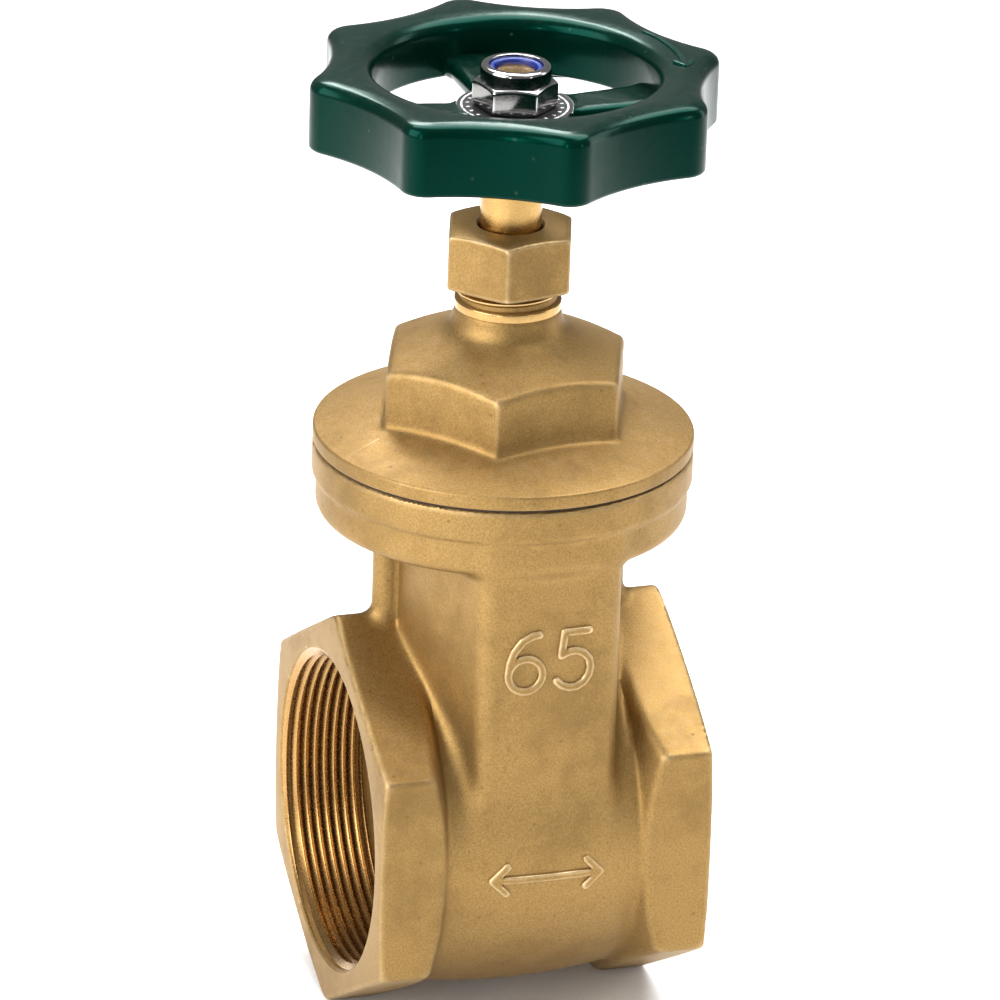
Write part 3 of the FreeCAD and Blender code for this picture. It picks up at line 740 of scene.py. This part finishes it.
def makeRimTree():  # rim whose outside swings between rounded tips and tangent hollows
    tree, start, end, grid, along, across, up = sheetTree("lobedRim")
    for name, value in (("Lobes", 8.0), ("Tip Centre", 0.04), ("Tip Radius", 0.005), ("Hollow Centre", 0.1),
                        ("Hollow Radius", 0.05), ("Inner Limit", 0.035), ("Outer Limit", 0.039)):
        floatIn(tree, name, value, 0.0, 1000.0)
    floatIn(tree, "Turn", 0.0, -10.0, 10.0)
    part = {name: start.outputs[name] for name in (
        "Lobes", "Tip Centre", "Tip Radius", "Hollow Centre", "Hollow Radius", "Inner Limit", "Outer Limit",
        "Turn")}
    angle = times(tree, along, 2 * math.pi)
    half = calc(tree, "DIVIDE", math.pi, part["Lobes"])
    fromTip = calc(tree, "PINGPONG", angle, half)
    fromHollow = minus(tree, half, fromTip)

    def onCircle(centre, radius, away, sign):  # where a ray meets a circle centred off the axis
        side = times(tree, centre, calc(tree, "SINE", away))
        rest = minus(tree, times(tree, radius, radius), times(tree, side, side))
        root = calc(tree, "SQRT", calc(tree, "MAXIMUM", rest, 0.0))
        return plus(tree, times(tree, centre, calc(tree, "COSINE", away)), times(tree, root, sign))

    tip = onCircle(part["Tip Centre"], part["Tip Radius"], fromTip, 1.0)
    hollow = onCircle(part["Hollow Centre"], part["Hollow Radius"], fromHollow, -1.0)
    share = calc(tree, "DIVIDE", part["Tip Radius"], plus(tree, part["Tip Radius"], part["Hollow Radius"]))
    jointSide = times(tree, times(tree, part["Hollow Centre"], calc(tree, "SINE", half)), share)
    forward = minus(tree, times(tree, part["Hollow Centre"], calc(tree, "COSINE", half)), part["Tip Centre"])
    jointAlong = plus(tree, part["Tip Centre"], times(tree, forward, share))
    joint = calc(tree, "ARCTAN2", jointSide, jointAlong)
    onTip = calc(tree, "LESS_THAN", fromTip, joint)
    outline = plus(tree, times(tree, tip, onTip), times(tree, hollow, minus(tree, 1.0, onTip)))
    valley = minus(tree, part["Hollow Centre"], part["Hollow Radius"])
    weight = ranged(tree, across, part["Inner Limit"], part["Outer Limit"])
    radius = plus(tree, across, times(tree, minus(tree, outline, valley), weight))
    closeSheet(tree, start, end, grid, plus(tree, angle, part["Turn"]), radius, up)
    return tree


threadTree, rimTree = makeThreadTree(), makeRimTree()


def bakeNodes(name, tree, loop, values):  # loop is (across, up) in mm, values by socket name
    mesh = meshFromLists(name, [(a, 0, z) for a, z in loop], [])
    thing = addObject(mesh)
    change = thing.modifiers.new("shape", "NODES")
    change.node_group = tree
    for item in tree.interface.items_tree:
        if item.item_type == "SOCKET" and item.in_out == "INPUT" and item.name in values:
            change[item.identifier] = values[item.name]
    applyModifiers(thing)
    fixNormals(thing.data)
    return thing


print("shape rules ready")
seamZ = nodeSpan("valve_body")[1][2]
bodySizes = dict(
    halfLength=40.0, hexCorner=49.5, hexRound=1.4, hexTrim=48.8, backX=27.6,
    backSlope=math.tan(math.radians(27.0)),
    faceFlatR=43.5, faceSlope=0.13, faceRound=0.9, backRound=1.8,
    barrelR=42.9, barrelCrown=2.0, barrelRise=-0.3, barrelHalfX=23.5, barrelRound=1.8, barrelBlend=1.6,
    neckSideX=25.5, neckSideY=10.0, neckFrontX=16.0, neckFrontY=41.0, neckRound=3.4, neckCrown=0.003,
    neckBlend=3.2, ribX=30.4, ribR=3.4, ribBlend=1.0,
    flangeR=43.9, stepR=42.9, stepZ=81.3, underZ=73.6, underR=40.6, neckTopZ=71.8, flangeBlend=2.4,
    boreR=37.6, boreDepth=20.5, mouth=0.7, shoulder=1.0, portR=29.5, pitch=2.309,
    chamberX=17.5, chamberY=36.0, chamberRound=10.0, seatR=34.0, seatX=13.04,
    seatSlope=math.tan(math.radians(5.0)),
    guideHalf=3.0, guideY=31.5, guideLow=-16.0, spigotR=36.45, spigotLow=79.0)


def neckOutline(b, x, y):
    ax, ay = np.abs(x), np.abs(y)
    run = b["neckSideX"] - b["neckFrontX"]
    rise = b["neckFrontY"] - b["neckSideY"]
    length = math.hypot(run, rise)
    planes = [
        (1.0, 0.0, b["neckSideX"]),
        (rise / length, run / length, (rise * b["neckSideX"] + run * b["neckSideY"]) / length)]
    side = prismDistance(ax, ay, planes, 4.0)
    front = ay - b["neckFrontY"] + b["neckCrown"] * ax * ax
    return softMax(side, front, b["neckRound"])


def bodyField(x, y, z):
    b = bodySizes
    ax = np.abs(x)
    r = np.hypot(y, z)
    flat = b["hexCorner"] * math.cos(math.pi / 6)
    end = hexDistance(z, y, flat, b["hexRound"])
    end = softMax(end, np.abs(z) - b["hexTrim"], 1.0)
    back = (b["backX"] - (b["hexCorner"] - r) * b["backSlope"] - ax) * math.cos(math.atan(b["backSlope"]))
    face = softMax(ax - b["halfLength"], ax - b["halfLength"] + b["faceSlope"] * (r - b["faceFlatR"]), 0.6)
    end = softMax(softMax(end, back, b["backRound"]), face, b["faceRound"])
    bulge = b["barrelCrown"] * np.minimum(ax / b["barrelHalfX"], 1.2) ** 2
    barrel = softMax(np.hypot(y, z - b["barrelRise"]) - b["barrelR"] + bulge, ax - b["barrelHalfX"],
        b["barrelRound"])
    shell = softMin(end, barrel, b["barrelBlend"])
    neck = softMax(neckOutline(b, x, y), -z, 2.0)
    neck = softMax(neck, z - b["stepZ"] + 1, 1.0)
    rib = np.hypot(np.maximum(ax - (b["ribX"] - b["ribR"]), 0), y) - b["ribR"]
    rib = softMax(softMax(rib, 30.0 - z, 2.0), z - b["stepZ"] + 1, 1.0)
    neck = softMin(neck, rib, b["ribBlend"])
    shell = softMin(shell, neck, b["neckBlend"])
    rz = np.hypot(x, y)
    slope = (b["stepR"] - b["underR"]) / (b["underZ"] - b["neckTopZ"])
    under = (rz - b["underR"] - (z - b["neckTopZ"]) * slope) / math.hypot(1, slope)
    flange = softMax(softMax(under, rz - b["stepR"], 1.4), b["neckTopZ"] - z, 1.4)
    flange = softMax(flange, z - b["stepZ"] - 1, 1.2)
    shell = softMin(shell, flange, b["flangeBlend"])
    rim = softMax(rz - b["flangeR"], np.abs(z - (b["stepZ"] + seamZ) / 2) - (seamZ - b["stepZ"]) / 2, 1.1)
    return softMin(shell, rim, 1.1)


def chamberField(x, y, z):  # below zero inside the hollow that the gate moves in
    b = bodySizes
    ax, r = np.abs(x), np.hypot(y, z)
    across = ax - b["chamberX"] + b["chamberRound"]
    around = np.hypot(y, np.minimum(z, 0)) - b["chamberY"] + b["chamberRound"]
    corner = np.hypot(np.maximum(across, 0), np.maximum(around, 0))
    hollow = corner + np.minimum(np.maximum(across, around), 0)
    hollow = softMax(hollow - b["chamberRound"], z - b["spigotLow"] - 3, 0.8)
    seat = softMax(r - b["seatR"], b["seatX"] + z * b["seatSlope"] - ax, 0.6)
    guide = softMax(np.abs(x) - b["guideHalf"], softMax(b["guideY"] - np.abs(y), b["guideLow"] - z, 0.8), 0.8)
    return softMax(hollow, -np.minimum(seat, guide), 0.6)


def portThread(side):
    b = bodySizes
    pitch, root, crest = b["pitch"], b["boreR"] + 0.15, b["boreR"] - 1.48
    half = pitch / 2 + 0.02
    loop = [(root + 0.3, -half), (root - 0.1, -half), (crest + 0.18, -0.24), (crest, -0.05), (crest, 0.05),
            (crest + 0.18, 0.24), (root - 0.1, half), (root + 0.3, half)]
    turns = (b["boreDepth"] - 0.7) / pitch
    steps = int(turns * detail(48, 132))
    thing = bakeNodes("portThread" + ("Right" if side > 0 else "Left"), threadTree, loop, {
        "Steps": steps, "Turns": turns, "Pitch": pitch * mm, "Wall": (root + 0.25) * mm, "Fade": 0.5,
        "Finish": boreBrass})
    start = b["halfLength"] - b["boreDepth"] + 0.3
    turn = Matrix.Rotation(math.pi / 2 * side, 4, "Y")
    thing.data.transform(Matrix.Translation((side * start * mm, 0, 0)) @ turn)
    return finishPiece(thing, boreBrass, "housing", None, 30, True)


def makeBody():
    b = bodySizes
    step = detail(1.6, 0.85)
    reach = b["hexCorner"] + 1.5
    low = (-b["halfLength"] - 5.3, -reach, -reach)
    high = (b["halfLength"] + 5.3, reach, seamZ + 1.5)
    body = addObject(forgedMesh("valveBody", bodyField, low, high, step), forgedBrass)
    sideX, sideY = b["chamberX"] + 1.5, b["chamberY"] + 2
    carve(body, forgedMesh(
        "hollowCut", chamberField, (-sideX, -sideY, -sideY), (sideX, sideY, b["spigotLow"] + 5),
        detail(1.8, 1.1)),
        forgedBrass)
    half, mouth = b["halfLength"], b["mouth"]
    boreR, portR = b["boreR"], b["portR"]
    boreEnd = b["boreDepth"] - half
    portStart = boreEnd + b["shoulder"]
    rows = [(0, -half - 1), (boreR + mouth + 1, -half - 1), (boreR + mouth, -half), (boreR, mouth - half),
            (boreR, boreEnd), (portR + 2, portStart), (portR, portStart)]
    carve(body, turnedMesh("waterCut", rows + [(r, -h) for r, h in reversed(rows)], 160, "X"), boreBrass)
    carve(body, turnedMesh("topCut", [
        (0, b["spigotLow"]), (b["spigotR"] - 0.5, b["spigotLow"]), (b["spigotR"], b["spigotLow"] + 0.5),
        (b["spigotR"], seamZ - 0.4), (b["spigotR"] + 0.4, seamZ), (b["spigotR"] + 0.4, seamZ + 1),
        (0, seamZ + 1)], 160),
        boreBrass)
    finishPiece(body, forgedBrass, "housing", "valve_body", 40)
    for side in (-1, 1):
        portThread(side)


makeBody()
markSizes = dict(
    stroke=0.95, height=0.7, numberScale=4.05, numberZ=48.2, sixX=-6.4, fiveX=5.2, arrowZ=-2.2,
    arrowHalf=13.0, barb=3.4)
sixStrokes = [
    [(math.cos(a * math.pi / 12), math.sin(a * math.pi / 12)) for a in range(25)],
    [(-1.0, 0.0), (-0.93, 0.75), (-0.68, 1.45), (-0.22, 2.05), (0.38, 2.38), (0.75, 2.42)]]
fiveStrokes = [[
    (0.82, 2.42), (-0.62, 2.42), (-0.78, 1.02), (-0.35, 1.22), (0.12, 1.24), (0.55, 1.06), (0.88, 0.68),
    (0.98, 0.18),
    (0.88, -0.32), (0.60, -0.72), (0.18, -0.96), (-0.28, -0.98), (-0.72, -0.80), (-1.0, -0.52)]]


def strokeDistance(strokes, u, v):
    best = np.full(np.shape(u), 1e3)
    for line in strokes:
        for (au, av), (bu, bv) in zip(line, line[1:]):
            du, dv = bu - au, bv - av
            t = np.clip(((u - au) * du + (v - av) * dv) / (du * du + dv * dv), 0, 1)
            best = np.minimum(best, np.hypot(u - au - t * du, v - av - t * dv))
    return best


def makeMarks():
    m = markSizes
    scale = m["numberScale"]
    number = [[(x * scale + at, z * scale + m["numberZ"]) for x, z in line]
              for at, strokes in ((m["sixX"], sixStrokes), (m["fiveX"], fiveStrokes)) for line in strokes]
    end, barb, z = m["arrowHalf"], m["barb"], m["arrowZ"]
    arrow = [[(-end, z), (end, z)]] + [
        [(s * (end - barb), z + barb), (s * end, z), (s * (end - barb), z - barb)] for s in (-1, 1)]
    step = detail(0.7, 0.3)
    for name, strokes, low, high in (
            ("sizeMark", number, (-13.0, -43.0, 42.0), (12.0, -38.5, 60.5)),
            ("flowMark", arrow, (-16.0, -44.5, -8.0), (16.0, -39.0, 4.0))):

        def field(x, y, z):
            skin = bodyField(x, y, z)
            return softMax(strokeDistance(strokes, x, z) - m["stroke"], np.abs(skin) - m["height"], 0.5)

        finishPiece(addObject(forgedMesh(name, field, low, high, step)), forgedBrass, "housing", None,
            60)


makeMarks()
print("body ready")


bonnetSizes = dict(
    hexR=30.64, hexRound=1.1, hexTurn=math.radians(9.1), crownZ=116.15, crownR=16.5, crownDrop=6.0,
    crownRound=1.4,
    rimR=43.9, rimZ=92.9, coneZ=96.4, coneR=31.5, footBlend=1.5, neckBlend=6.5, lowZ=89.5, spigotR=36.4,
    spigotZ=80.0, undercutR=35.0,
    neckR=12.2, threadR=12.0, threadRoot=11.25, ringZ=122.7, ringTop=124.6, topZ=138.0, threadPitch=1.8,
    hollowLow=33.2, hollowMid=21.0, hollowTop=15.5, ringHoleR=14.05, bowlZ=95.5, throatZ=100.5,
    ringLowZ=108.9, ringHighZ=113.4, collarR=11.4, shoulderZ=118.4, boxZ=124.0, boxR=9.65, stemR=7.15)


def hexBlank(name, b, low, high, step, material=None):
    turn = b["hexTurn"]
    slope = b["crownDrop"] / (b["hexR"] - b["crownR"])
    cosine = 1 / math.hypot(1, slope)

    def field(x, y, z):
        u = x * math.cos(turn) + y * math.sin(turn)
        v = y * math.cos(turn) - x * math.sin(turn)
        side = hexDistance(u, v, b["hexR"] * math.cos(math.pi / 6), b["hexRound"])
        crown = (z - b["crownZ"] + slope * (np.hypot(x, y) - b["crownR"])) * cosine
        crown = softMax(crown, z - b["crownZ"], 1.0)
        shape = softMax(side, crown, b["crownRound"])
        if "rimR" in b:
            r = np.hypot(x, y)
            fall = (b["coneZ"] - b["rimZ"]) / (b["rimR"] - b["coneR"])
            skirt = (z - b["rimZ"] - fall * (b["rimR"] - r) + 0.03) / math.hypot(1, fall)
            shape = softMin(shape, softMax(skirt, r - b["hexR"] - 6, 0.3), b["footBlend"])
            neck = softMax(r - b["neckR"] - 0.15, z - b["ringZ"], 1.0)
            shape = softMin(shape, neck, b["neckBlend"])
        if "footR" in b:
            foot = (b["footZ"] - z + slope * (np.hypot(x, y) - b["footR"])) * cosine
            shape = softMax(shape, foot, b["crownRound"])
        return softMax(shape, low - z, 0.8)

    reach = b["hexR"] + (7.5 if "rimR" in b else 2)
    return addObject(forgedMesh(name, field, (-reach, -reach, low - 2), (reach, reach, high + 2), step),
        material)


def makeBonnet():
    b = bonnetSizes
    bonnet = addObject(lathe("bonnetShell", [
        (0, b["spigotZ"], 0), (b["spigotR"], b["spigotZ"], 0.6), (b["spigotR"], b["lowZ"] - 1.5, 0.3),
        (b["undercutR"], b["lowZ"] - 1.2, 0.3), (b["undercutR"], b["lowZ"], 0.2), (b["rimR"], b["lowZ"], 0.5),
        (b["rimR"], b["rimZ"], 0.7), (b["coneR"] - 8, b["coneZ"] + 2.2, 0), (b["neckR"], b["coneZ"] + 5, 0),
        (b["neckR"], b["ringTop"], 0.3), (b["threadRoot"], b["ringTop"] + 0.3, 0.2),
        (b["threadRoot"], b["topZ"], 0.4), (0, b["topZ"], 0)], 192), forgedBrass)
    combine(bonnet, hexBlank("bonnetHex", b, b["rimZ"] - 1.5, b["ringZ"], detail(1.3, 0.75)), "UNION")
    carve(bonnet, lathe("bonnetCut", [
        (0, b["spigotZ"] - 1, 0), (b["hollowLow"], b["spigotZ"] - 1, 0),
        (b["hollowLow"], b["spigotZ"] + 0.2, 0.5),
        (b["hollowMid"], b["bowlZ"], 2), (b["hollowTop"], b["throatZ"], 1),
        (b["hollowTop"], b["ringLowZ"] - 1, 0.3),
        (b["ringHoleR"], b["ringLowZ"], 0), (b["ringHoleR"], b["ringHighZ"], 0),
        (b["collarR"], b["ringHighZ"], 0),
        (b["collarR"], b["shoulderZ"], 0), (b["stemR"], b["shoulderZ"], 0),
        (b["stemR"], b["boxZ"], 0), (b["boxR"], b["boxZ"], 0), (b["boxR"], b["topZ"] + 1, 0),
        (0, b["topZ"] + 1, 0)], 96),
        turnedBrass)
    finishPiece(bonnet, forgedBrass, "housing", "bonnet", 36)
    inner, outer, foot = b["neckR"] - 0.4, b["neckR"] + 0.12, b["ringZ"] - 0.3
    ring = addObject(lathe("neckRing", [
        (inner, foot, 0.1), (outer, foot, 0.3), (outer, b["ringTop"], 0.25), (inner, b["ringTop"], 0.1)],
        128))
    finishPiece(ring, turnedBrass, "housing", None, 40)
    pitch, root, crest = b["threadPitch"], b["threadRoot"] - 0.1, b["threadR"]
    half = pitch / 2
    loop = [(root, -half), (root + 0.12, -half), (crest, -0.16), (crest, 0.16), (root + 0.12, half),
        (root, half)]
    low = b["ringTop"] + 1.0
    turns = (b["topZ"] - 0.6 - low) / pitch
    thread = bakeNodes("neckThread", threadTree, loop, {
        "Steps": int(turns * 96), "Turns": turns, "Pitch": pitch * mm, "Wall": (root + 0.05) * mm,
        "Fade": 0.5,
        "Finish": turnedBrass})
    thread.data.transform(Matrix.Translation((0, 0, low * mm)))
    finishPiece(thread, turnedBrass, "housing", None, 30)


makeBonnet()
glandLow, glandHigh = nodeSpan("gland_nut")[0][2], nodeSpan("gland_nut")[1][2]
glandSizes = dict(
    hexR=16.05, hexRound=1.0, hexTurn=math.radians(11.2), crownZ=glandHigh, crownR=13.6, crownDrop=1.0,
    crownRound=0.5,
    footZ=glandLow, footR=15.2, boreR=12.05, roofZ=139.5, stemR=7.5)


def makeGlandNut():
    b = glandSizes
    nut = hexBlank("glandNut", b, glandLow, glandHigh, detail(0.9, 0.42), forgedBrass)
    carve(nut, lathe("glandCut", [
        (0, glandLow - 1, 0), (b["boreR"] + 1.4, glandLow - 1, 0), (b["boreR"], glandLow + 0.5, 0),
        (b["boreR"], b["roofZ"], 0.3),
        (b["stemR"], b["roofZ"], 0), (b["stemR"], glandHigh - 0.5, 0), (b["stemR"] + 1.4, glandHigh + 1, 0),
        (0, glandHigh + 1, 0)], 96), turnedBrass)
    finishPiece(nut, forgedBrass, "housing", "gland_nut", 40)


makeGlandNut()
print("bonnet ready")


wheelLow, wheelHigh = nodeSpan("handwheel")[0], nodeSpan("handwheel")[1]
wheelTop = wheelHigh[2]
wheelSizes = dict(
    lobes=8, turn=math.radians(-1.0), cornerR=48.2, valleyR=42.6, tipR=5.5, openR=32.5, wall=3.5, rimT=17.2,
    innerRise=3.1,
    topRound=4.6, innerRound=5.2, crown=0.9, spokeTop=wheelTop - 9.9, spokeT=5.0, hubSpoke=5.25,
    rimSpoke=6.75, flare=0.35, flareR=28.5, hubR=12.5,
    hubLow=wheelLow[2], discR=13.4, discT=0.6, square=9.1, squareCorner=5.9)


def makeHandwheel():
    w = wheelSizes
    top, low = wheelTop, wheelTop - w["rimT"]
    outer, inner, wall = w["valleyR"], w["openR"], w["wall"]
    loop = filletLoop([
        (outer, low, 1.2), (outer, top - w["crown"], w["topRound"]), ((outer + inner) / 2 + 0.5, top, 7.0),
        (inner, top - w["crown"], w["innerRound"]), (inner, low + w["innerRise"], 1.0),
        (inner + wall, low + w["innerRise"], 1.0), (inner + wall, top - wall, 1.0),
        (outer - wall, top - wall, 1.0),
        (outer - wall, low, 0.8)], 7)
    tipAt = w["cornerR"] - w["tipR"]
    reach = outer - w["tipR"]
    hollowAt = (reach ** 2 - tipAt ** 2) / (2 * (reach - tipAt * math.cos(math.pi / w["lobes"])))
    wheel = bakeNodes("handwheelRim", rimTree, loop, {
        "Steps": detail(192, 448), "Lobes": float(w["lobes"]), "Tip Centre": tipAt * mm,
        "Tip Radius": w["tipR"] * mm,
        "Hollow Centre": hollowAt * mm, "Hollow Radius": (hollowAt - outer) * mm, "Turn": w["turn"],
        "Inner Limit": (inner + wall + 0.3) * mm, "Outer Limit": (outer - wall - 0.1) * mm,
        "Finish": greenEnamel})
    flat = w["spokeTop"] - w["discT"]

    def arms(x, y, z):
        u = x * math.cos(w["turn"]) + y * math.sin(w["turn"])
        v = y * math.cos(w["turn"]) - x * math.sin(w["turn"])
        along, across = np.maximum(np.abs(u), np.abs(v)), np.minimum(np.abs(u), np.abs(v))
        spread = w["hubSpoke"] + (w["rimSpoke"] - w["hubSpoke"]) * along / inner
        spread = spread + w["flare"] * np.maximum(along - w["flareR"], 0)
        lift = 0.045 * along - 0.6
        body = softMax(across - spread, np.abs(z - w["spokeTop"] + w["spokeT"] / 2 - lift) - w["spokeT"] / 2,
            2.4)
        body = softMax(body, along - inner - 2.2, 0.6)
        r = np.hypot(x, y)
        hub = softMax(r - w["hubR"], np.abs(z - (flat + w["hubLow"]) / 2) - (flat - w["hubLow"]) / 2, 1.2)
        return softMin(body, hub, 3.0)

    reachOut = inner + 4
    spokes = addObject(forgedMesh(
        "wheelSpokes", arms, (-reachOut, -reachOut, w["hubLow"] - 2), (reachOut, reachOut, w["spokeTop"] + 4),
        detail(1.2, 0.7)), greenEnamel)
    combine(wheel, spokes, "UNION")
    above = w["spokeTop"] + 4
    carve(wheel, turnedMesh("discCut", [(0, flat), (w["discR"], flat), (w["discR"], above), (0, above)], 96))
    half = w["square"] / 2
    hole = addObject(boxMesh("squareCut", (-half, -half, w["hubLow"] - 1), (half, half, w["spokeTop"] + 1)))
    hole.data.transform(Matrix.Rotation(w["turn"], 4, "Z"))
    keep = addObject(turnedMesh("roundKeep", [
        (0, w["hubLow"] - 2), (w["squareCorner"], w["hubLow"] - 2), (w["squareCorner"], w["spokeTop"] + 2),
        (0, w["spokeTop"] + 2)], 64))
    combine(hole, keep, "INTERSECT")
    combine(wheel, hole, "DIFFERENCE")
    finishPiece(wheel, greenEnamel, "spindle", "handwheel", 44)


makeHandwheel()
arrowSizes = dict(radius=38.2, start=math.radians(22.0), end=math.radians(-14.0), half=0.6, height=0.35,
    barb=2.4)


def makeTurnArrow():  # raised arc with a head, on top of the rim
    a = arrowSizes
    count = 14
    arc = [(a["radius"] * math.cos(t), a["radius"] * math.sin(t))
           for t in (a["start"] + (a["end"] - a["start"]) * k / count for k in range(count + 1))]
    tip = Vector(arc[-1])
    ahead = (tip - Vector(arc[-2])).normalized()
    side = Vector((-ahead.y, ahead.x))
    back, out = tip - ahead * a["barb"], side * a["barb"] * 0.8
    strokes = [arc, [tuple(back + out), tuple(tip), tuple(back - out)]]
    xs, ys = zip(*(p for line in strokes for p in line))

    def field(x, y, z):
        return softMax(strokeDistance(strokes, x, y) - a["half"],
            np.abs(z - wheelTop + 0.2) - a["height"] - 0.2, 0.4)

    low = (min(xs) - 2, min(ys) - 2, wheelTop - 1.2)
    high = (max(xs) + 2, max(ys) + 2, wheelTop + 1.2)
    arrow = addObject(forgedMesh("turnArrow", field, low, high, detail(0.5, 0.25)))
    finishPiece(arrow, greenEnamel, "spindle", None, 60)


makeTurnArrow()
nutLow, nutHigh = nodeSpan("wheel_nut")[0][2], nodeSpan("wheel_nut")[1][2]
nutSizes = dict(
    hexR=9.815, hexRound=0.45, hexTurn=math.radians(41.5), crownZ=nutLow + 6.6, crownR=8.2, crownDrop=0.95,
    crownRound=0.5,
    footZ=nutLow, footR=8.9, collarR=8.1, pocketR=6.2, boreR=4.95, insertT=1.8, insertIn=0.6)


def makeWheelNut():
    b = nutSizes
    nut = hexBlank("wheelNut", b, nutLow, b["crownZ"], detail(0.7, 0.3), stainless)
    low = nutHigh - b["insertIn"] - b["insertT"]
    collar = addObject(lathe("nutCollar", [
        (0, b["crownZ"] - 2, 0), (b["collarR"], b["crownZ"] - 2, 0), (b["collarR"], nutHigh, 1.7),
        (b["pocketR"], nutHigh, 0.2), (b["pocketR"], low, 0), (0, low, 0)], 96), stainless)
    combine(nut, collar, "UNION")
    carve(nut, turnedMesh("nutCut", [
        (0, nutLow - 1), (b["boreR"], nutLow - 1), (b["boreR"], nutHigh + 1), (0, nutHigh + 1)], 64))
    finishPiece(nut, stainless, "spindle", "wheel_nut", 36)
    insert = addObject(lathe("nutInsert", [
        (b["boreR"], low, 0), (b["pocketR"] - 0.05, low, 0), (b["pocketR"] - 0.05, low + b["insertT"], 0.5),
        (b["boreR"], low + b["insertT"], 0.5)], 96))
    finishPiece(insert, blueNylon, "spindle", "nut_insert", 40)


makeWheelNut()
print("wheel ready")


def carry(node, material):
    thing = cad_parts[node]
    for k in range(len(thing.material_slots)):
        thing.material_slots[k].material = material
    if not thing.material_slots:
        thing.data.materials.append(material)


for node, material in (
        ("bonnet_gasket", fibreGasket), ("stem", turnedBrass), ("wheel_disc", blackLabel),
        ("gate_wedge", forgedBrass),
        ("stem_retaining_ring", turnedBrass), ("upper_thrust_washer", whitePtfe),
        ("lower_thrust_washer", whitePtfe),
        ("packing_washer", turnedBrass), ("packing_ring_1", grayPacking), ("packing_ring_2", grayPacking),
        ("packing_ring_3", grayPacking), ("gland_follower", turnedBrass)):
    carry(node, material)
print("carried parts ready")


studioSizes = dict(
    world=0.27, floor=0.86, floorHalf=3000,
    lights=(
        ("topLight", (0.20, 0.20, 1.10), (1.3, 0.8), 30.0),
        ("leftLight", (-1.00, -0.30, 0.60), (0.9, 1.0), 20.0),
        ("rightLight", (1.05, -0.10, 0.35), (0.3, 0.9), 3.0),
        ("leftStrip", (-0.62, -0.85, 0.30), (0.03, 0.50), 1.8),
        ("rightStrip", (0.55, -0.90, 0.30), (0.02, 0.40), 0.8),
        ("backBox", (0.05, 0.70, 0.85), (0.42, 0.14), 4.5)))


def makeStudio(s):
    floorZ = frameLow[2] - 0.0002
    half, top = s["floorHalf"], floorZ / mm
    floor = addObject(boxMesh("studioFloor", (-half, -half, top - 10), (half, half, top)))
    material, tree, shader, place = newMaterial("paleFloor")
    tone = s["floor"]
    dull, bright = (tone, tone, tone, 1), (tone + 0.02, tone + 0.02, tone + 0.02, 1)
    pale = blendColor(tree, noise(tree, place, 3.0), dull, bright)
    feed(tree, shader.inputs["Base Color"], pale)
    shader.inputs["Roughness"].default_value = 0.7
    floor.data.materials.append(material)
    world = bpy.data.worlds.new("studio")
    scene.world = world
    world.use_nodes = True
    world.node_tree.nodes["Background"].inputs["Color"].default_value = (1, 1, 1, 1)
    world.node_tree.nodes["Background"].inputs["Strength"].default_value = s["world"]
    for name, place, size, power in s["lights"]:
        data = bpy.data.lights.new(name, "AREA")
        data.shape = "RECTANGLE"
        data.size, data.size_y = size
        data.energy = power
        light = addObject(data)
        light.location = place
        light.rotation_mode = "QUATERNION"
        light.rotation_quaternion = (Vector((0, 0, 0.07)) - Vector(place)).to_track_quat("-Z", "Y")


makeStudio(studioSizes)
scene.view_settings.view_transform = "Standard"
